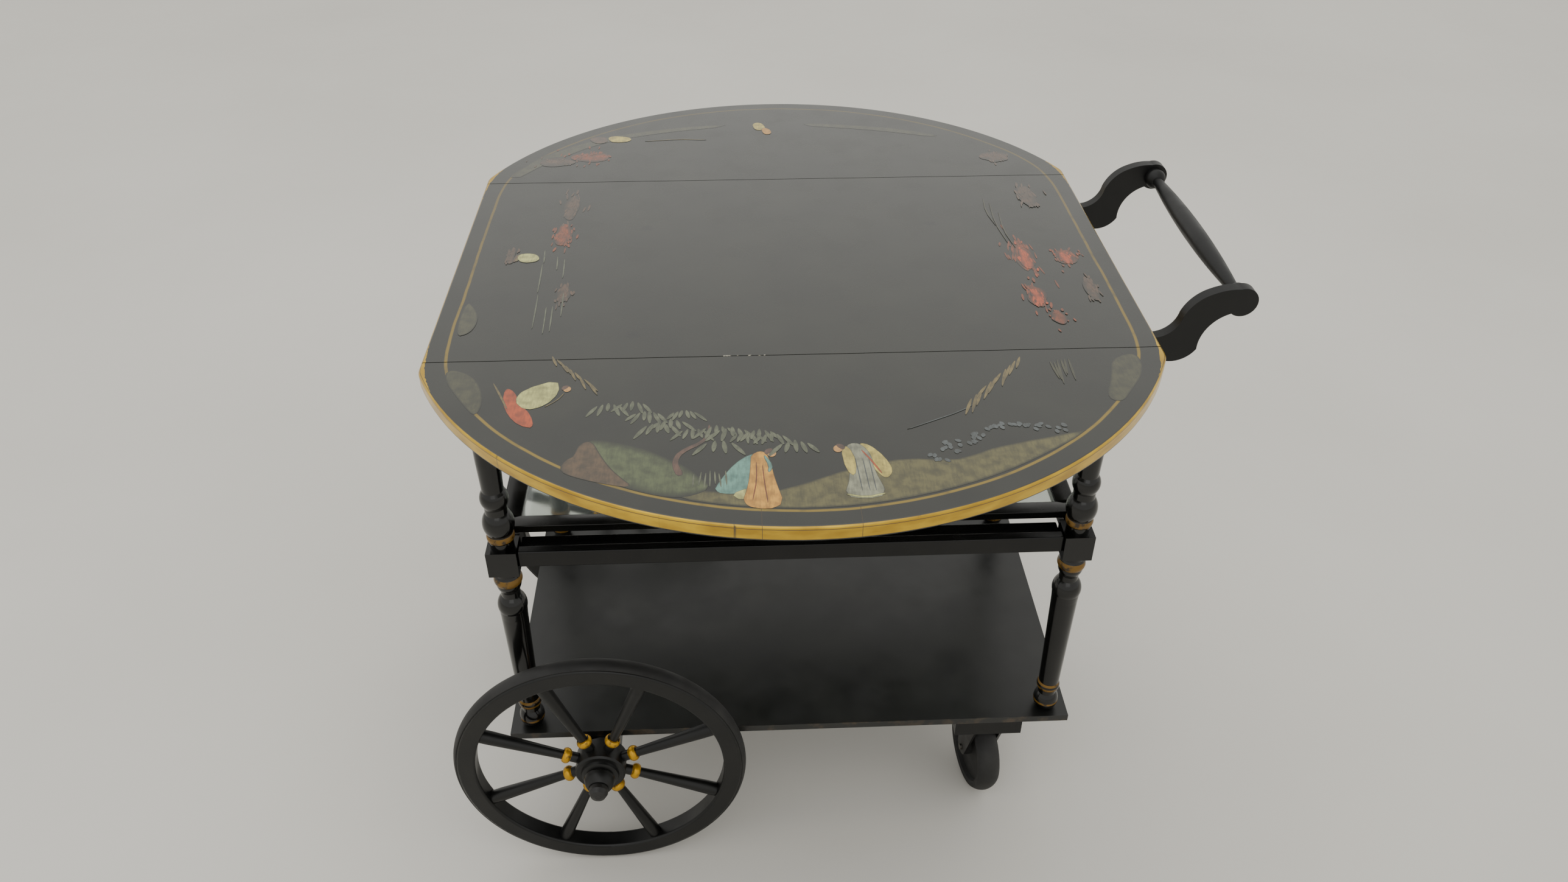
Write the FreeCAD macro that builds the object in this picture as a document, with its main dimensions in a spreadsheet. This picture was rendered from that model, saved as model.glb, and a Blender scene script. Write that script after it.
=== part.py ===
import FreeCAD, Part
import math
import os
import re

import Sketcher

# Drop-leaf tea cart of turned and lacquered wood. Millimetres, +Z up, +X towards the handle.
# The origin lies on the floor, under the middle of the cart's whole outline.

# Driving dimensions. Heights ending in _low, _high or _level are measured from the floor.
SIZES = {
    # tabletop
    "centre_shift": -26.5, "top_length": 686, "panel_width": 390, "seam_gap": 1,
    "top_level": 711, "top_thick": 17, "arc_radius": 370, "arc_offset": 72,
    "corner_round": 30, "edge_round": 2.5, "edge_bevel": 4,
    # legs and frame
    "leg_x": 305, "leg_y": 171, "block": 32, "block_low": 437, "block_high": 469,
    "head_low": 650, "foot_radius": 14.5, "foot_height": 25, "neck": 10.5, "ring": 12.5,
    "ring_low": 225, "ring_height": 11, "shaft_low": 11.8, "shaft_high": 15.3,
    "ring_bulge": 9, "cup": 14, "vase": 13.8, "collar": 13, "pillar": 13.4,
    "rail_thick": 20, "rail_low": 446, "rail_high": 466.5, "apron_height": 40,
    "rail_lip": 11, "ledge_reach": 25, "ledge_drop": 8,
    "shelf_length": 660, "shelf_width": 380, "shelf_level": 193, "shelf_thick": 9,
    # tray
    "tray_length": 620, "tray_width": 300, "tray_member": 20, "tray_height": 9,
    "glass_thick": 4, "glass_lift": 2, "glass_grip": 8,
    # large wheels
    "wheel_x": -224, "wheel_radius": 169, "tyre_depth": 4.5, "tyre_width": 18,
    "tyre_shoulder": 1.2, "rim_inner": 143, "rim_width": 22, "rim_face": 228.5,
    "rim_soften": 3, "hub_radius": 29,
    "hub_inner": 196, "hub_drum_in": 203, "hub_drum_out": 233, "hub_nose": 254,
    "nose_radius": 18, "axle_radius": 6.35, "axle_half": 263, "running": 0.06,
    "spoke_root": 6, "spoke_tip": 8, "bead_radius": 9.5, "bead_at": 42, "bead_half": 4.5,
    "tenon": 5, "tenon_depth": 6, "bearer_width": 40, "bearer_height": 34,
    # casters
    "caster_x": 248, "caster_y": 143, "caster_radius": 58, "caster_tread": 28,
    "caster_trail": 26, "cleat_low": 196, "cleat_high": 276, "cleat_drop": 20,
    "fork_gap": 33, "fork_wall": 3, "pin_radius": 4, "plate_half": 29, "screw_spread": 21,
    "race_radius": 19, "king_radius": 5, "king_head": 8, "crown_back": 36, "crown_front": 18,
    "cheek_foot": 12, "tyre_edge": 6, "web_half": 8, "caster_hub": 11,
    # handle
    "arm_inner": 140, "arm_thick": 12, "boss_x": 431, "boss_lift": 20, "boss_radius": 15,
    "bar_belly": 10.3, "bar_neck": 5.2, "bar_boss": 11,
    # leaf hinges and folding stays
    "hinge_x": 225, "hinge_half": 25, "knuckle": 3.5, "hinge_pin": 1.5, "plate": 1.8,
    "stay_x": 120, "stay_width": 12, "stay_thick": 2.5, "stay_back": 46, "stay_drop": 52,
    "stay_reach": 120, "lug_drop": 9.5, "lower_arm": 114, "upper_arm": 61.4, "rivet": 3,
    # angles of the stays' arms with the leaf up, from the outward direction, in degrees
    "lower_angle": 5.4, "upper_angle": 211.1,
}

# The casters rest as the cart was last rolled: their wheels trail at this angle.
CASTER_ANGLE = -81
SPOKES = 8

doc = FreeCAD.newDocument("TeaCart")
sheet = doc.addObject("Spreadsheet::Sheet", "Sizes")
for row, (alias, size) in enumerate(SIZES.items(), start=1):
    sheet.set(f"A{row}", alias)
    sheet.set(f"B{row}", str(size))
    sheet.setAlias(f"B{row}", alias)
doc.recompute()

WORD = re.compile(r"[a-z][a-z_]*")
UPRIGHT = FreeCAD.Rotation()
ALONG = {
    "x": FreeCAD.Rotation(FreeCAD.Vector(0, 1, 0), 90),
    "y": FreeCAD.Rotation(FreeCAD.Vector(1, 0, 0), -90),
    "z": UPRIGHT,
}
# Turns a flat outline drawn in XY up into the XZ plane, its thickness towards -Y.
STANDING = FreeCAD.Rotation(FreeCAD.Vector(1, 0, 0), 90)
# Turns a flat outline drawn in XY so that it reads (outward along -Y, up along Z).
LEAFWARD = FreeCAD.Rotation(
    FreeCAD.Vector(0, -1, 0), FreeCAD.Vector(0, 0, 1), FreeCAD.Vector(-1, 0, 0))
# Turns a flat outline drawn in XY so that it reads (back along +Y, up along Z).
FACING_BACK = FreeCAD.Rotation(
    FreeCAD.Vector(0, 1, 0), FreeCAD.Vector(0, 0, 1), FreeCAD.Vector(1, 0, 0))
nodes = []


def bound(text):
    """The expression with every size's name pointed at its cell in the sheet."""
    return WORD.sub(lambda word: f"Sizes.{word[0]}" if word[0] in SIZES else word[0], str(text))


def value(text):
    """The number that an expression gives now."""
    return float(sheet.evalExpression(bound(text)))


def place(piece, at, rotation=UPRIGHT):
    """Put a piece at three expressions, x, y and z, turned by a rotation."""
    piece.Placement = FreeCAD.Placement(FreeCAD.Vector(*map(value, at)), rotation)
    for axis, text in zip("xyz", at):
        piece.setExpression(f"Placement.Base.{axis}", bound(text))
    return piece


def node(label, piece):
    """Name a finished sub-part, which gives it a file of its own."""
    piece.Label = label
    nodes.append(piece)
    return piece


def box(name, *spans):
    """A block from its (low, high) expressions along x, y and z."""
    solid = doc.addObject("Part::Box", name)
    for side, (low, high) in zip(("Length", "Width", "Height"), spans):
        solid.setExpression(side, bound(f"({high}) - ({low})"))
    return place(solid, [low for low, high in spans])


def rod(name, radius, axis, span, across):
    """A round bar along an axis: its (low, high), and its place on the other two axes."""
    solid = doc.addObject("Part::Cylinder", name)
    solid.setExpression("Radius", bound(radius))
    solid.setExpression("Height", bound(f"({span[1]}) - ({span[0]})"))
    at = list(across)
    at.insert("xyz".index(axis), span[0])
    return place(solid, at, ALONG[axis])


def fuse(name, *pieces):
    """Several solids made one."""
    whole = doc.addObject("Part::MultiFuse", name)
    whole.Shapes = list(pieces)
    return whole


def group(name, pieces):
    """Separate solids kept together."""
    kept = doc.addObject("Part::Compound", name)
    kept.Links = list(pieces)
    return kept


def cut(name, base, tool):
    """A solid less another."""
    rest = doc.addObject("Part::Cut", name)
    rest.Base = base
    rest.Tool = tool
    return rest


def mirrored(name, source, axis):
    """A mirror image across the cart's middle plane, square to the axis x or y."""
    image = doc.addObject("Part::Mirroring", name)
    image.Source = source
    image.Normal = FreeCAD.Vector(1, 0, 0) if axis == "x" else FreeCAD.Vector(0, 1, 0)
    image.setExpression("Base.x", bound("centre_shift"))
    return image


def arc_between(start, end, radius):
    """An arc that bulges to the right of the way from start to end, or left if radius < 0."""
    if radius < 0:
        return arc_between(end, start, -radius)
    chord = end - start
    half = chord.Length / 2
    left = FreeCAD.Vector(-chord.y, chord.x, 0).normalize()
    centre = start + chord / 2 + left * math.sqrt(max(radius ** 2 - half ** 2, 0))
    angles = [math.atan2(point.y - centre.y, point.x - centre.x) for point in (start, end)]
    return Part.ArcOfCircle(Part.Circle(centre, FreeCAD.Vector(0, 0, 1), radius), *angles)


def outline(body, plane, corners):
    """A closed sketch. Each corner is (x, y) or (x, y, radius of the arc to the next)."""
    sketch = body.newObject("Sketcher::SketchObject", f"{body.Name}Outline")
    home = next(one for one in body.Origin.OriginFeatures if one.Role == plane)
    sketch.AttachmentSupport = [(home, "")]
    sketch.MapMode = "FlatFace"
    points = [FreeCAD.Vector(value(corner[0]), value(corner[1]), 0) for corner in corners]
    ends = []
    for index, corner in enumerate(corners):
        start, end = points[index], points[(index + 1) % len(points)]
        radius = value(corner[2]) if len(corner) == 3 else None
        edge = Part.LineSegment(start, end) if radius is None else arc_between(start, end, radius)
        sketch.addGeometry(edge)
        ends.append((1, 2) if radius is None or radius > 0 else (2, 1))
    for index, corner in enumerate(corners):
        before = index - 1 if index else len(corners) - 1
        joined = Sketcher.Constraint("Coincident", before, ends[before][1], index, ends[index][0])
        sketch.addConstraint(joined)
        for kind, place_text, number in zip(("DistanceX", "DistanceY"), corner, points[index]):
            rule = Sketcher.Constraint(kind, -1, 1, index, ends[index][0], number)
            count = sketch.addConstraint(rule)
            sketch.setExpression(f"Constraints[{count}]", bound(place_text))
        if len(corner) == 3:
            count = sketch.addConstraint(Sketcher.Constraint("Radius", index, abs(value(corner[2]))))
            sketch.setExpression(f"Constraints[{count}]", bound(f"abs({corner[2]})"))
    return sketch


def board(name, corners, thick, at, rotation=UPRIGHT):
    """A flat piece: an outline in its own XY plane, padded by its thickness."""
    body = doc.addObject("PartDesign::Body", name)
    sketch = outline(body, "XY_Plane", corners)
    pad = body.newObject("PartDesign::Pad", f"{name}Pad")
    pad.Profile = sketch
    pad.setExpression("Length", bound(thick))
    return place(body, at, rotation)


def turned(name, corners, at, rotation=UPRIGHT):
    """A piece turned about its own Z axis: corners are (radius, height)."""
    body = doc.addObject("PartDesign::Body", name)
    sketch = outline(body, "XZ_Plane", corners)
    spin = body.newObject("PartDesign::Revolution", f"{name}Spin")
    spin.Profile = sketch
    spin.ReferenceAxis = (sketch, ["V_Axis"])
    spin.Angle = 360
    return place(body, at, rotation)


def dress_edges(body, kind, size, wanted):
    """A Fillet or Chamfer on the edges of the body's tip that the test picks."""
    doc.recompute()
    tip = body.Tip
    names = [f"Edge{number}" for number, edge in enumerate(tip.Shape.Edges, start=1) if wanted(edge)]
    feature = body.newObject(f"PartDesign::{kind}", f"{body.Name}{kind}{len(names)}")
    feature.Base = (tip, names)
    feature.setExpression("Radius" if kind == "Fillet" else "Size", bound(size))


def screw(name, at, rotation, head, grip, length):
    """A wood screw: its head's bearing face at the place, its shank along the turned +Z."""
    corners = [
        (0, f"-{head} / 3"), (f"{head} / 2", f"-{head} / 3"), (head, 0),
        (grip, 0), (grip, length), (0, length),
    ]
    return turned(name, corners, at, rotation)


# ---------------------------------------------------------------- tabletop
half_top = "top_length / 2"
shelf_base = "(shelf_level - shelf_thick)"
wheel_middle = "(centre_shift + wheel_x)"
half_panel = "panel_width / 2"
seam = "panel_width / 2 + seam_gap"
arc_end = "(arc_offset + sqrt(arc_radius^2 - (top_length / 2)^2))"
underside = "top_level - top_thick"
hinge_level = "(top_level - top_thick - knuckle)"
hinge_line = "(panel_width / 2 + seam_gap / 2)"


def outer_edge(level):
    """A test for the tabletop's own rim at one height, leaving the seams square."""
    def wanted(edge):
        spots = [edge.valueAt(edge.FirstParameter), edge.valueAt(edge.LastParameter)]
        flat = all(abs(spot.z - level) < 0.01 for spot in spots)
        on_seam = all(abs(abs(spot.y) - value(half_panel)) < 1.01 for spot in spots)
        return flat and not (on_seam and abs(spots[0].x - spots[1].x) > 1)
    return wanted


def dress_board(body):
    """Round the top edge of a tabletop board and bevel it below, all but at the seams."""
    dress_edges(body, "Fillet", "edge_round", outer_edge(value("top_thick")))
    dress_edges(body, "Chamfer", "edge_bevel", outer_edge(0))


panel_blank = board("PanelBlank", [
    (f"-{half_top}", f"-{half_panel}"), (half_top, f"-{half_panel}"),
    (half_top, half_panel), (f"-{half_top}", half_panel),
], "top_thick", ("centre_shift", 0, underside))
dress_board(panel_blank)

leaf_blank = board("LeafBlank", [
    (half_top, f"-({seam})"), (f"-{half_top}", f"-({seam})"),
    (f"-{half_top}", f"-{arc_end}", "arc_radius"), (half_top, f"-{arc_end}"),
], "top_thick", ("centre_shift", 0, underside))
dress_edges(leaf_blank, "Fillet", "corner_round", lambda edge: (
    abs(edge.tangentAt(edge.FirstParameter).z) > 0.9
    and abs(edge.valueAt(edge.FirstParameter).y) > value(seam) + 1))
dress_board(leaf_blank)

# ---------------------------------------------------------------- leaf hinges (front side)
hinge_plates = []
hinge_wings = []
hinge_pins = []
panel_screws = []
leaf_screws = []
for side, sign in (("Left", "-"), ("Right", "+")):
    middle = f"(centre_shift {sign} hinge_x)"
    low, high = f"{middle} - hinge_half", f"{middle} + hinge_half"
    inner_low, inner_high = f"{middle} - hinge_half / 3", f"{middle} + hinge_half / 3"
    flat = (f"{underside} - plate", underside)
    axis_at = (f"-{hinge_line}", hinge_level)
    near, far = f"-{hinge_line} + knuckle + 0.4", f"-{hinge_line} + 12.5"
    plate = fuse(
        f"HingePlate{side}",
        box(f"PlateFlat{side}", (low, high), (near, far), flat),
        box(f"PlateTongueA{side}", (low, f"{inner_low} - 0.3"), (f"-{hinge_line}", near), flat),
        box(f"PlateTongueB{side}", (f"{inner_high} + 0.3", high), (f"-{hinge_line}", near), flat),
        rod(f"PlateKnuckleA{side}", "knuckle", "x", (low, f"{inner_low} - 0.3"), axis_at),
        rod(f"PlateKnuckleB{side}", "knuckle", "x", (f"{inner_high} + 0.3", high), axis_at))
    near, far = f"-{hinge_line} - knuckle - 0.4", f"-{hinge_line} - 30"
    wing = fuse(
        f"HingeWing{side}",
        box(f"WingFlat{side}", (low, high), (far, near), flat),
        box(f"WingTongue{side}", (inner_low, inner_high), (near, f"-{hinge_line}"), flat),
        rod(f"WingKnuckle{side}", "knuckle", "x", (inner_low, inner_high), axis_at))
    pin = rod(f"HingePin{side}", "hinge_pin", "x", (low, high), axis_at)
    wing_bore = rod(f"WingBore{side}", "hinge_pin + running", "x", (low, high), axis_at)
    hinge_pins.append(pin)
    hinge_plates.append(cut(f"HingePlateBored{side}", plate, pin))
    hinge_wings.append(cut(f"HingeWingBored{side}", wing, wing_bore))
    for end, offset in (("A", "- hinge_half * 0.66"), ("B", "+ hinge_half * 0.66")):
        spot_x = f"{middle} {offset}"
        panel_screws.append(screw(
            f"PanelScrew{side}{end}", (spot_x, f"-{hinge_line} + 8.5", f"{underside} - plate"),
            UPRIGHT, 2.6, 1.4, 12))
        leaf_screws.append(screw(
            f"LeafScrew{side}{end}", (spot_x, f"-{hinge_line} - 20", f"{underside} - plate"),
            UPRIGHT, 2.6, 1.4, 12))

# ---------------------------------------------------------------- folding stays (front side)
stay_brackets = []
stay_lugs = []
lower_arms = []
upper_arms = []
bracket_screws = []
apron_inner = "(leg_y - rail_thick / 2 + 1)"
pivot_y = f"(-{hinge_line} + stay_back)"
pivot_z = f"({hinge_level} - stay_drop)"
lug_y = f"(-{hinge_line} - stay_reach)"
lug_z = f"({hinge_level} - lug_drop)"
half_arm = "stay_width / 2"


def arm(name, length, at, angle):
    """A flat stay arm with round ends, from its pivot at the place, reading (outward, up)."""
    corners = [
        (0, f"-{half_arm}"), (length, f"-{half_arm}", f"{half_arm} * 1.02"),
        (length, half_arm), (0, half_arm, f"{half_arm} * 1.02"),
    ]
    turn = LEAFWARD.multiply(FreeCAD.Rotation(FreeCAD.Vector(0, 0, 1), value(angle)))
    return board(name, corners, "stay_thick", at, turn)


def elbow(y, z, which):
    """Where an arm's far end lies across the cart, as expressions for y and z."""
    angle = f"{which}_angle * 1 deg"
    return (f"{y} - {which}_arm * cos({angle})", f"{z} + {which}_arm * sin({angle})")


for side, sign in (("Left", "-"), ("Right", "+")):
    middle = f"(centre_shift {sign} stay_x)"
    ear = (f"{middle} + 0.4", f"{middle} + 0.4 + stay_thick")
    bracket = fuse(
        f"StayBracket{side}",
        box(f"BracketPad{side}", (f"{middle} - 16", f"{middle} + 20"),
            (f"-{apron_inner}", f"-{apron_inner} + stay_thick"),
            (f"{underside} - apron_height", underside)),
        box(f"BracketEar{side}", ear, (f"-{apron_inner}", f"{pivot_y} + {half_arm}"),
            (f"{pivot_z} - {half_arm}", f"{underside} - apron_height + 8")),
        rod(f"BracketRivet{side}", "rivet", "x", (f"{middle} - stay_thick - 1.2", f"{middle} + 0.5"),
            (pivot_y, pivot_z)))
    stay_brackets.append(bracket)
    lower = arm(f"LowerArm{side}", "lower_arm", (middle, pivot_y, pivot_z), "lower_angle")
    lower_bore = rod(f"LowerBore{side}", "rivet + running", "x",
                     (f"{middle} - stay_thick - 2", f"{middle} + 2"), (pivot_y, pivot_z))
    lower_elbow = rod(f"LowerElbow{side}", "rivet + 1", "x", (f"{middle} - 1", f"{middle} + 1.2"),
                      elbow(pivot_y, pivot_z, "lower"))
    lower_whole = fuse(f"LowerArmWhole{side}", lower, lower_elbow)
    lower_arms.append(cut(f"LowerArmBored{side}", lower_whole, lower_bore))
    lug = fuse(
        f"StayLug{side}",
        box(f"LugPad{side}", (f"{middle} - 14", f"{middle} + 14"), (f"{lug_y} - 12", f"{lug_y} + 12"),
            (f"{underside} - plate", underside)),
        box(f"LugEar{side}", ear, (f"{lug_y} - {half_arm}", f"{lug_y} + {half_arm}"),
            (f"{lug_z} - {half_arm}", f"{underside} - plate / 2")),
        rod(f"LugRivet{side}", "rivet", "x", (f"{middle} - stay_thick * 2 - 1.2", f"{middle} + 0.5"),
            (lug_y, lug_z)))
    stay_lugs.append(lug)
    upper_at = (f"{middle} - stay_thick - 0.4", lug_y, lug_z)
    upper = arm(f"UpperArm{side}", "upper_arm", upper_at, "upper_angle")
    upper_bore = rod(f"UpperBore{side}", "rivet + running", "x",
                     (f"{middle} - stay_thick * 3", f"{middle} + 0.2"), (lug_y, lug_z))
    upper_elbow = rod(f"UpperElbow{side}", "rivet + 1", "x",
                      (f"{middle} - stay_thick * 2 - 1.6", f"{middle} - stay_thick * 2"),
                      elbow(lug_y, lug_z, "upper"))
    upper_whole = fuse(f"UpperArmWhole{side}", upper, upper_elbow)
    upper_arms.append(cut(f"UpperArmBored{side}", upper_whole, upper_bore))
    for end, offset in (("A", "- 9"), ("B", "+ 14")):
        bracket_screws.append(screw(
            f"BracketScrew{side}{end}",
            (f"{middle} {offset}", f"-{apron_inner} + stay_thick", f"{underside} - apron_height / 2"),
            STANDING, 3, 1.6, 14))
    leaf_screws.append(screw(
        f"LugScrew{side}", (f"{middle} - 9", f"{lug_y} + 7", f"{underside} - plate"),
        UPRIGHT, 2.6, 1.4, 12))

screws_in_leaf = group("LeafScrews", leaf_screws)
panel_screws_back = [mirrored(f"{one.Name}Back", one, "y") for one in panel_screws]
hinge_screws = group("HingeScrews", panel_screws + panel_screws_back)
node("top_panel", cut("TopPanel", panel_blank, hinge_screws))
leaf_front = node("leaf_front", cut("LeafFront", leaf_blank, screws_in_leaf))
node("leaf_back", mirrored("LeafBack", leaf_front, "y"))
node("leaf_front_screws", screws_in_leaf)
node("leaf_back_screws", mirrored("LeafScrewsBack", screws_in_leaf, "y"))

plate_pair = group("HingePlatePair", hinge_plates)
plates_front = cut("HingePlatesFront", plate_pair, group("PlateScrews", panel_screws))
plates_back = mirrored("HingePlatesBack", plates_front, "y")
node("hinge_plates", group("HingePlates", [plates_front, plates_back]))
pins_front = group("HingePinsFront", hinge_pins)
node("hinge_pins", group("HingePins", [pins_front, mirrored("HingePinsBack", pins_front, "y")]))
wing_pair = group("HingeWingPair", hinge_wings)
wings = node("hinge_wings_front", cut("HingeWings", wing_pair, screws_in_leaf))
node("hinge_wings_back", mirrored("HingeWingsBack", wings, "y"))
lugs = node("stay_lugs_front", cut("StayLugs", group("StayLugPair", stay_lugs), screws_in_leaf))
node("stay_lugs_back", mirrored("StayLugsBack", lugs, "y"))
lowers = node("stay_lower_arms_front", group("LowerArms", lower_arms))
node("stay_lower_arms_back", mirrored("LowerArmsBack", lowers, "y"))
uppers = node("stay_upper_arms_front", group("UpperArms", upper_arms))
node("stay_upper_arms_back", mirrored("UpperArmsBack", uppers, "y"))
bracket_screws_front = group("BracketScrewsFront", bracket_screws)
brackets = cut("StayBracketsFront", group("StayBracketPair", stay_brackets), bracket_screws_front)
node("stay_brackets", group("StayBrackets", [brackets, mirrored("StayBracketsBack", brackets, "y")]))
bracket_screws_back = mirrored("BracketScrewsBack", bracket_screws_front, "y")
stay_screws = group("StayScrews", [bracket_screws_front, bracket_screws_back])
node("fitting_screws", group("FittingScrews", [hinge_screws, stay_screws]))

# ---------------------------------------------------------------- legs
# A corner's third value is the radius of the arc that runs from it to the next corner.
leg_profile = [
    (0, "shelf_level"), ("foot_radius * 0.62", "shelf_level", "foot_radius * 1.3"),
    ("neck", "shelf_level + foot_height"), ("neck", "ring_low - 1"),
    ("ring - 1", "ring_low", "ring_bulge"),
    ("ring - 1", "ring_low + ring_height"), ("shaft_low", "ring_low + ring_height + 1"),
    ("shaft_high - 0.7", "block_low - 68"), ("shaft_high", "block_low - 58", 20),
    ("neck", "block_low - 38"), ("neck", "block_low - 31"), ("cup - 2", "block_low - 27", 14),
    ("cup - 0.5", "block_low - 20", "ring_bulge"), ("cup - 0.5", "block_low - 9"),
    ("cup - 1.5", "block_low - 7"), ("cup - 1.5", "block_high + 8"),
    ("cup - 0.5", "block_high + 9", "ring_bulge"), ("cup - 0.5", "block_high + 18"),
    ("vase", "block_high + 19", 24), ("neck + 1.3", "block_high + 45"),
    ("neck + 1.3", "block_high + 53"), ("collar", "block_high + 56", 16.5),
    ("collar", "block_high + 71"), ("neck + 0.7", "block_high + 74"),
    ("pillar - 1", "block_high + 110"), ("pillar", "head_low + 5"), (0, "head_low + 5"),
]
stem = turned("LegStem", leg_profile, ("centre_shift - leg_x", "-leg_y", 0))


def leg_block(name, low, high):
    """A square block left on the left front leg, where rails or aprons meet it."""
    return box(name, ("centre_shift - leg_x - block / 2", "centre_shift - leg_x + block / 2"),
               ("-leg_y - block / 2", "-leg_y + block / 2"), (low, high))


leg_blank = fuse("LegBlank", stem, leg_block("LegBlock", "block_low", "block_high"),
                 leg_block("LegHead", "head_low", underside))
leg_screw = screw(
    "LegScrew", ("centre_shift - leg_x", "-leg_y", shelf_base), UPRIGHT, 4.5, 2.2, 40)
leg_one = node("leg_front_left", cut("LegFrontLeft", leg_blank, leg_screw))
leg_two = node("leg_front_right", mirrored("LegFrontRight", leg_one, "x"))
node("leg_back_left", mirrored("LegBackLeft", leg_one, "y"))
node("leg_back_right", mirrored("LegBackRight", leg_two, "y"))
leg_screw_right = mirrored("LegScrewRight", leg_screw, "x")
leg_screws = group("LegScrews", [
    leg_screw, leg_screw_right,
    mirrored("LegScrewBack", leg_screw, "y"), mirrored("LegScrewBackRight", leg_screw_right, "y"),
])

# ---------------------------------------------------------------- rails and aprons
long_span = ("centre_shift - leg_x + block / 2", "centre_shift + leg_x - block / 2")
short_span = ("-leg_y + block / 2", "leg_y - block / 2")
long_depth = ("-leg_y - rail_thick / 2 - 1", "-leg_y + rail_thick / 2 - 1")
short_depth = ("centre_shift + leg_x - rail_thick / 2", "centre_shift + leg_x + rail_thick / 2")
rail_band = ("rail_low", "rail_high")
apron_band = (f"{underside} - apron_height", underside)
rail_front = node("rail_front", fuse(
    "RailFront",
    box("RailLip", long_span, ("-leg_y - rail_lip", "-leg_y"), rail_band),
    box("RailLedge", long_span, ("-leg_y - rail_lip", "-leg_y + ledge_reach"),
        ("rail_low", "rail_high - ledge_drop"))))
node("rail_back", mirrored("RailBack", rail_front, "y"))
rail_right = node("rail_right", box("RailRight", short_depth, short_span, rail_band))
node("rail_left", mirrored("RailLeft", rail_right, "x"))
apron_front = node("apron_front", cut(
    "ApronFront", box("ApronFrontBlank", long_span, long_depth, apron_band), bracket_screws_front))
node("apron_back", mirrored("ApronBack", apron_front, "y"))

# ---------------------------------------------------------------- handle
boss_level = "(top_level + boss_lift)"
arm_foot = f"({underside} - 27)"
arm_profile = [
    ("leg_x + rail_thick / 2", arm_foot), ("boss_x - 65", arm_foot, 28),
    ("boss_x - 35", f"{arm_foot} + 13", -38),
    ("boss_x - boss_radius * 0.6", f"{boss_level} - boss_radius * 0.8", "boss_radius"),
    ("boss_x + boss_radius", boss_level, "boss_radius"),
    ("boss_x - boss_radius * 0.28", f"{boss_level} + boss_radius * 0.96", 60),
    ("boss_x - 30", "top_level + 30", 41), ("boss_x - 55", "top_level + 5", -26),
    ("boss_x - 81", underside), ("leg_x + rail_thick / 2", underside),
]
arm_blank = board(
    "HandleArmBlank", arm_profile, "arm_thick", ("centre_shift", "-arm_inner", 0), STANDING)
handle_screws_front = group("HandleScrewsFront", [
    screw(f"HandleScrew{name}", ("centre_shift + leg_x - rail_thick / 2", "-arm_inner - arm_thick / 2",
                                 f"{underside} - {drop}"), ALONG["x"], 3.5, 1.9, 42)
    for name, drop in (("Upper", 7), ("Lower", 20))])
handle_screws = group("HandleScrews", [
    handle_screws_front, mirrored("HandleScrewsBack", handle_screws_front, "y")])
arm_front = node("handle_arm_front", cut("HandleArmFront", arm_blank, handle_screws_front))
node("handle_arm_back", mirrored("HandleArmBack", arm_front, "y"))
node("frame_screws", group("FrameScrews", [leg_screws, handle_screws]))
bar_swell = "(bar_belly - bar_neck)"
bar_chord = "(2 * (arm_inner - 14))"
bar_sweep = f"({bar_chord}^2 / (8 * {bar_swell}) + {bar_swell} / 2)"
node("handle_bar", turned("HandleBar", [
    (0, "-arm_inner"), ("bar_boss", "-arm_inner"), ("bar_boss", "-arm_inner + 3", 9),
    ("bar_neck", "-arm_inner + 14", bar_sweep), ("bar_neck", "arm_inner - 14", 9),
    ("bar_boss", "arm_inner - 3"), ("bar_boss", "arm_inner"), (0, "arm_inner"),
], ("centre_shift + boss_x", 0, boss_level), ALONG["y"]))
apron_right_blank = box("ApronRightBlank", short_depth, short_span, apron_band)
node("apron_right", cut("ApronRight", apron_right_blank, handle_screws))
node("apron_left", mirrored("ApronLeft", apron_right_blank, "x"))

# ---------------------------------------------------------------- tray
half_glass = "(tray_length / 2 - tray_member + glass_grip)"
half_glass_width = "(tray_width / 2 - tray_member + glass_grip)"
tray_glass = node("tray_glass", box(
    "TrayGlass",
    (f"centre_shift - {half_glass}", f"centre_shift + {half_glass}"),
    (f"-{half_glass_width}", half_glass_width),
    ("rail_high + glass_lift", "rail_high + glass_lift + glass_thick")))
TRAY_SECTION = [
    (0, 0), ("tray_member", 0), ("tray_member", "glass_lift + glass_thick + 0.8"),
    ("tray_member * 0.55", "tray_height"), (0, "tray_height"),
]
tray_front = node("tray_front", cut("TrayFront", board(
    "TrayFrontBlank", TRAY_SECTION, "tray_length",
    ("centre_shift - tray_length / 2", "-tray_width / 2", "rail_high"), FACING_BACK), tray_glass))
node("tray_back", mirrored("TrayBack", tray_front, "y"))
tray_left = cut("TrayLeft", board(
    "TrayLeftBlank", TRAY_SECTION, "tray_width - 2 * tray_member",
    ("centre_shift - tray_length / 2", "tray_width / 2 - tray_member", "rail_high"), STANDING),
    tray_glass)
node("tray_ends", group("TrayEnds", [tray_left, mirrored("TrayRight", tray_left, "x")]))

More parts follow.
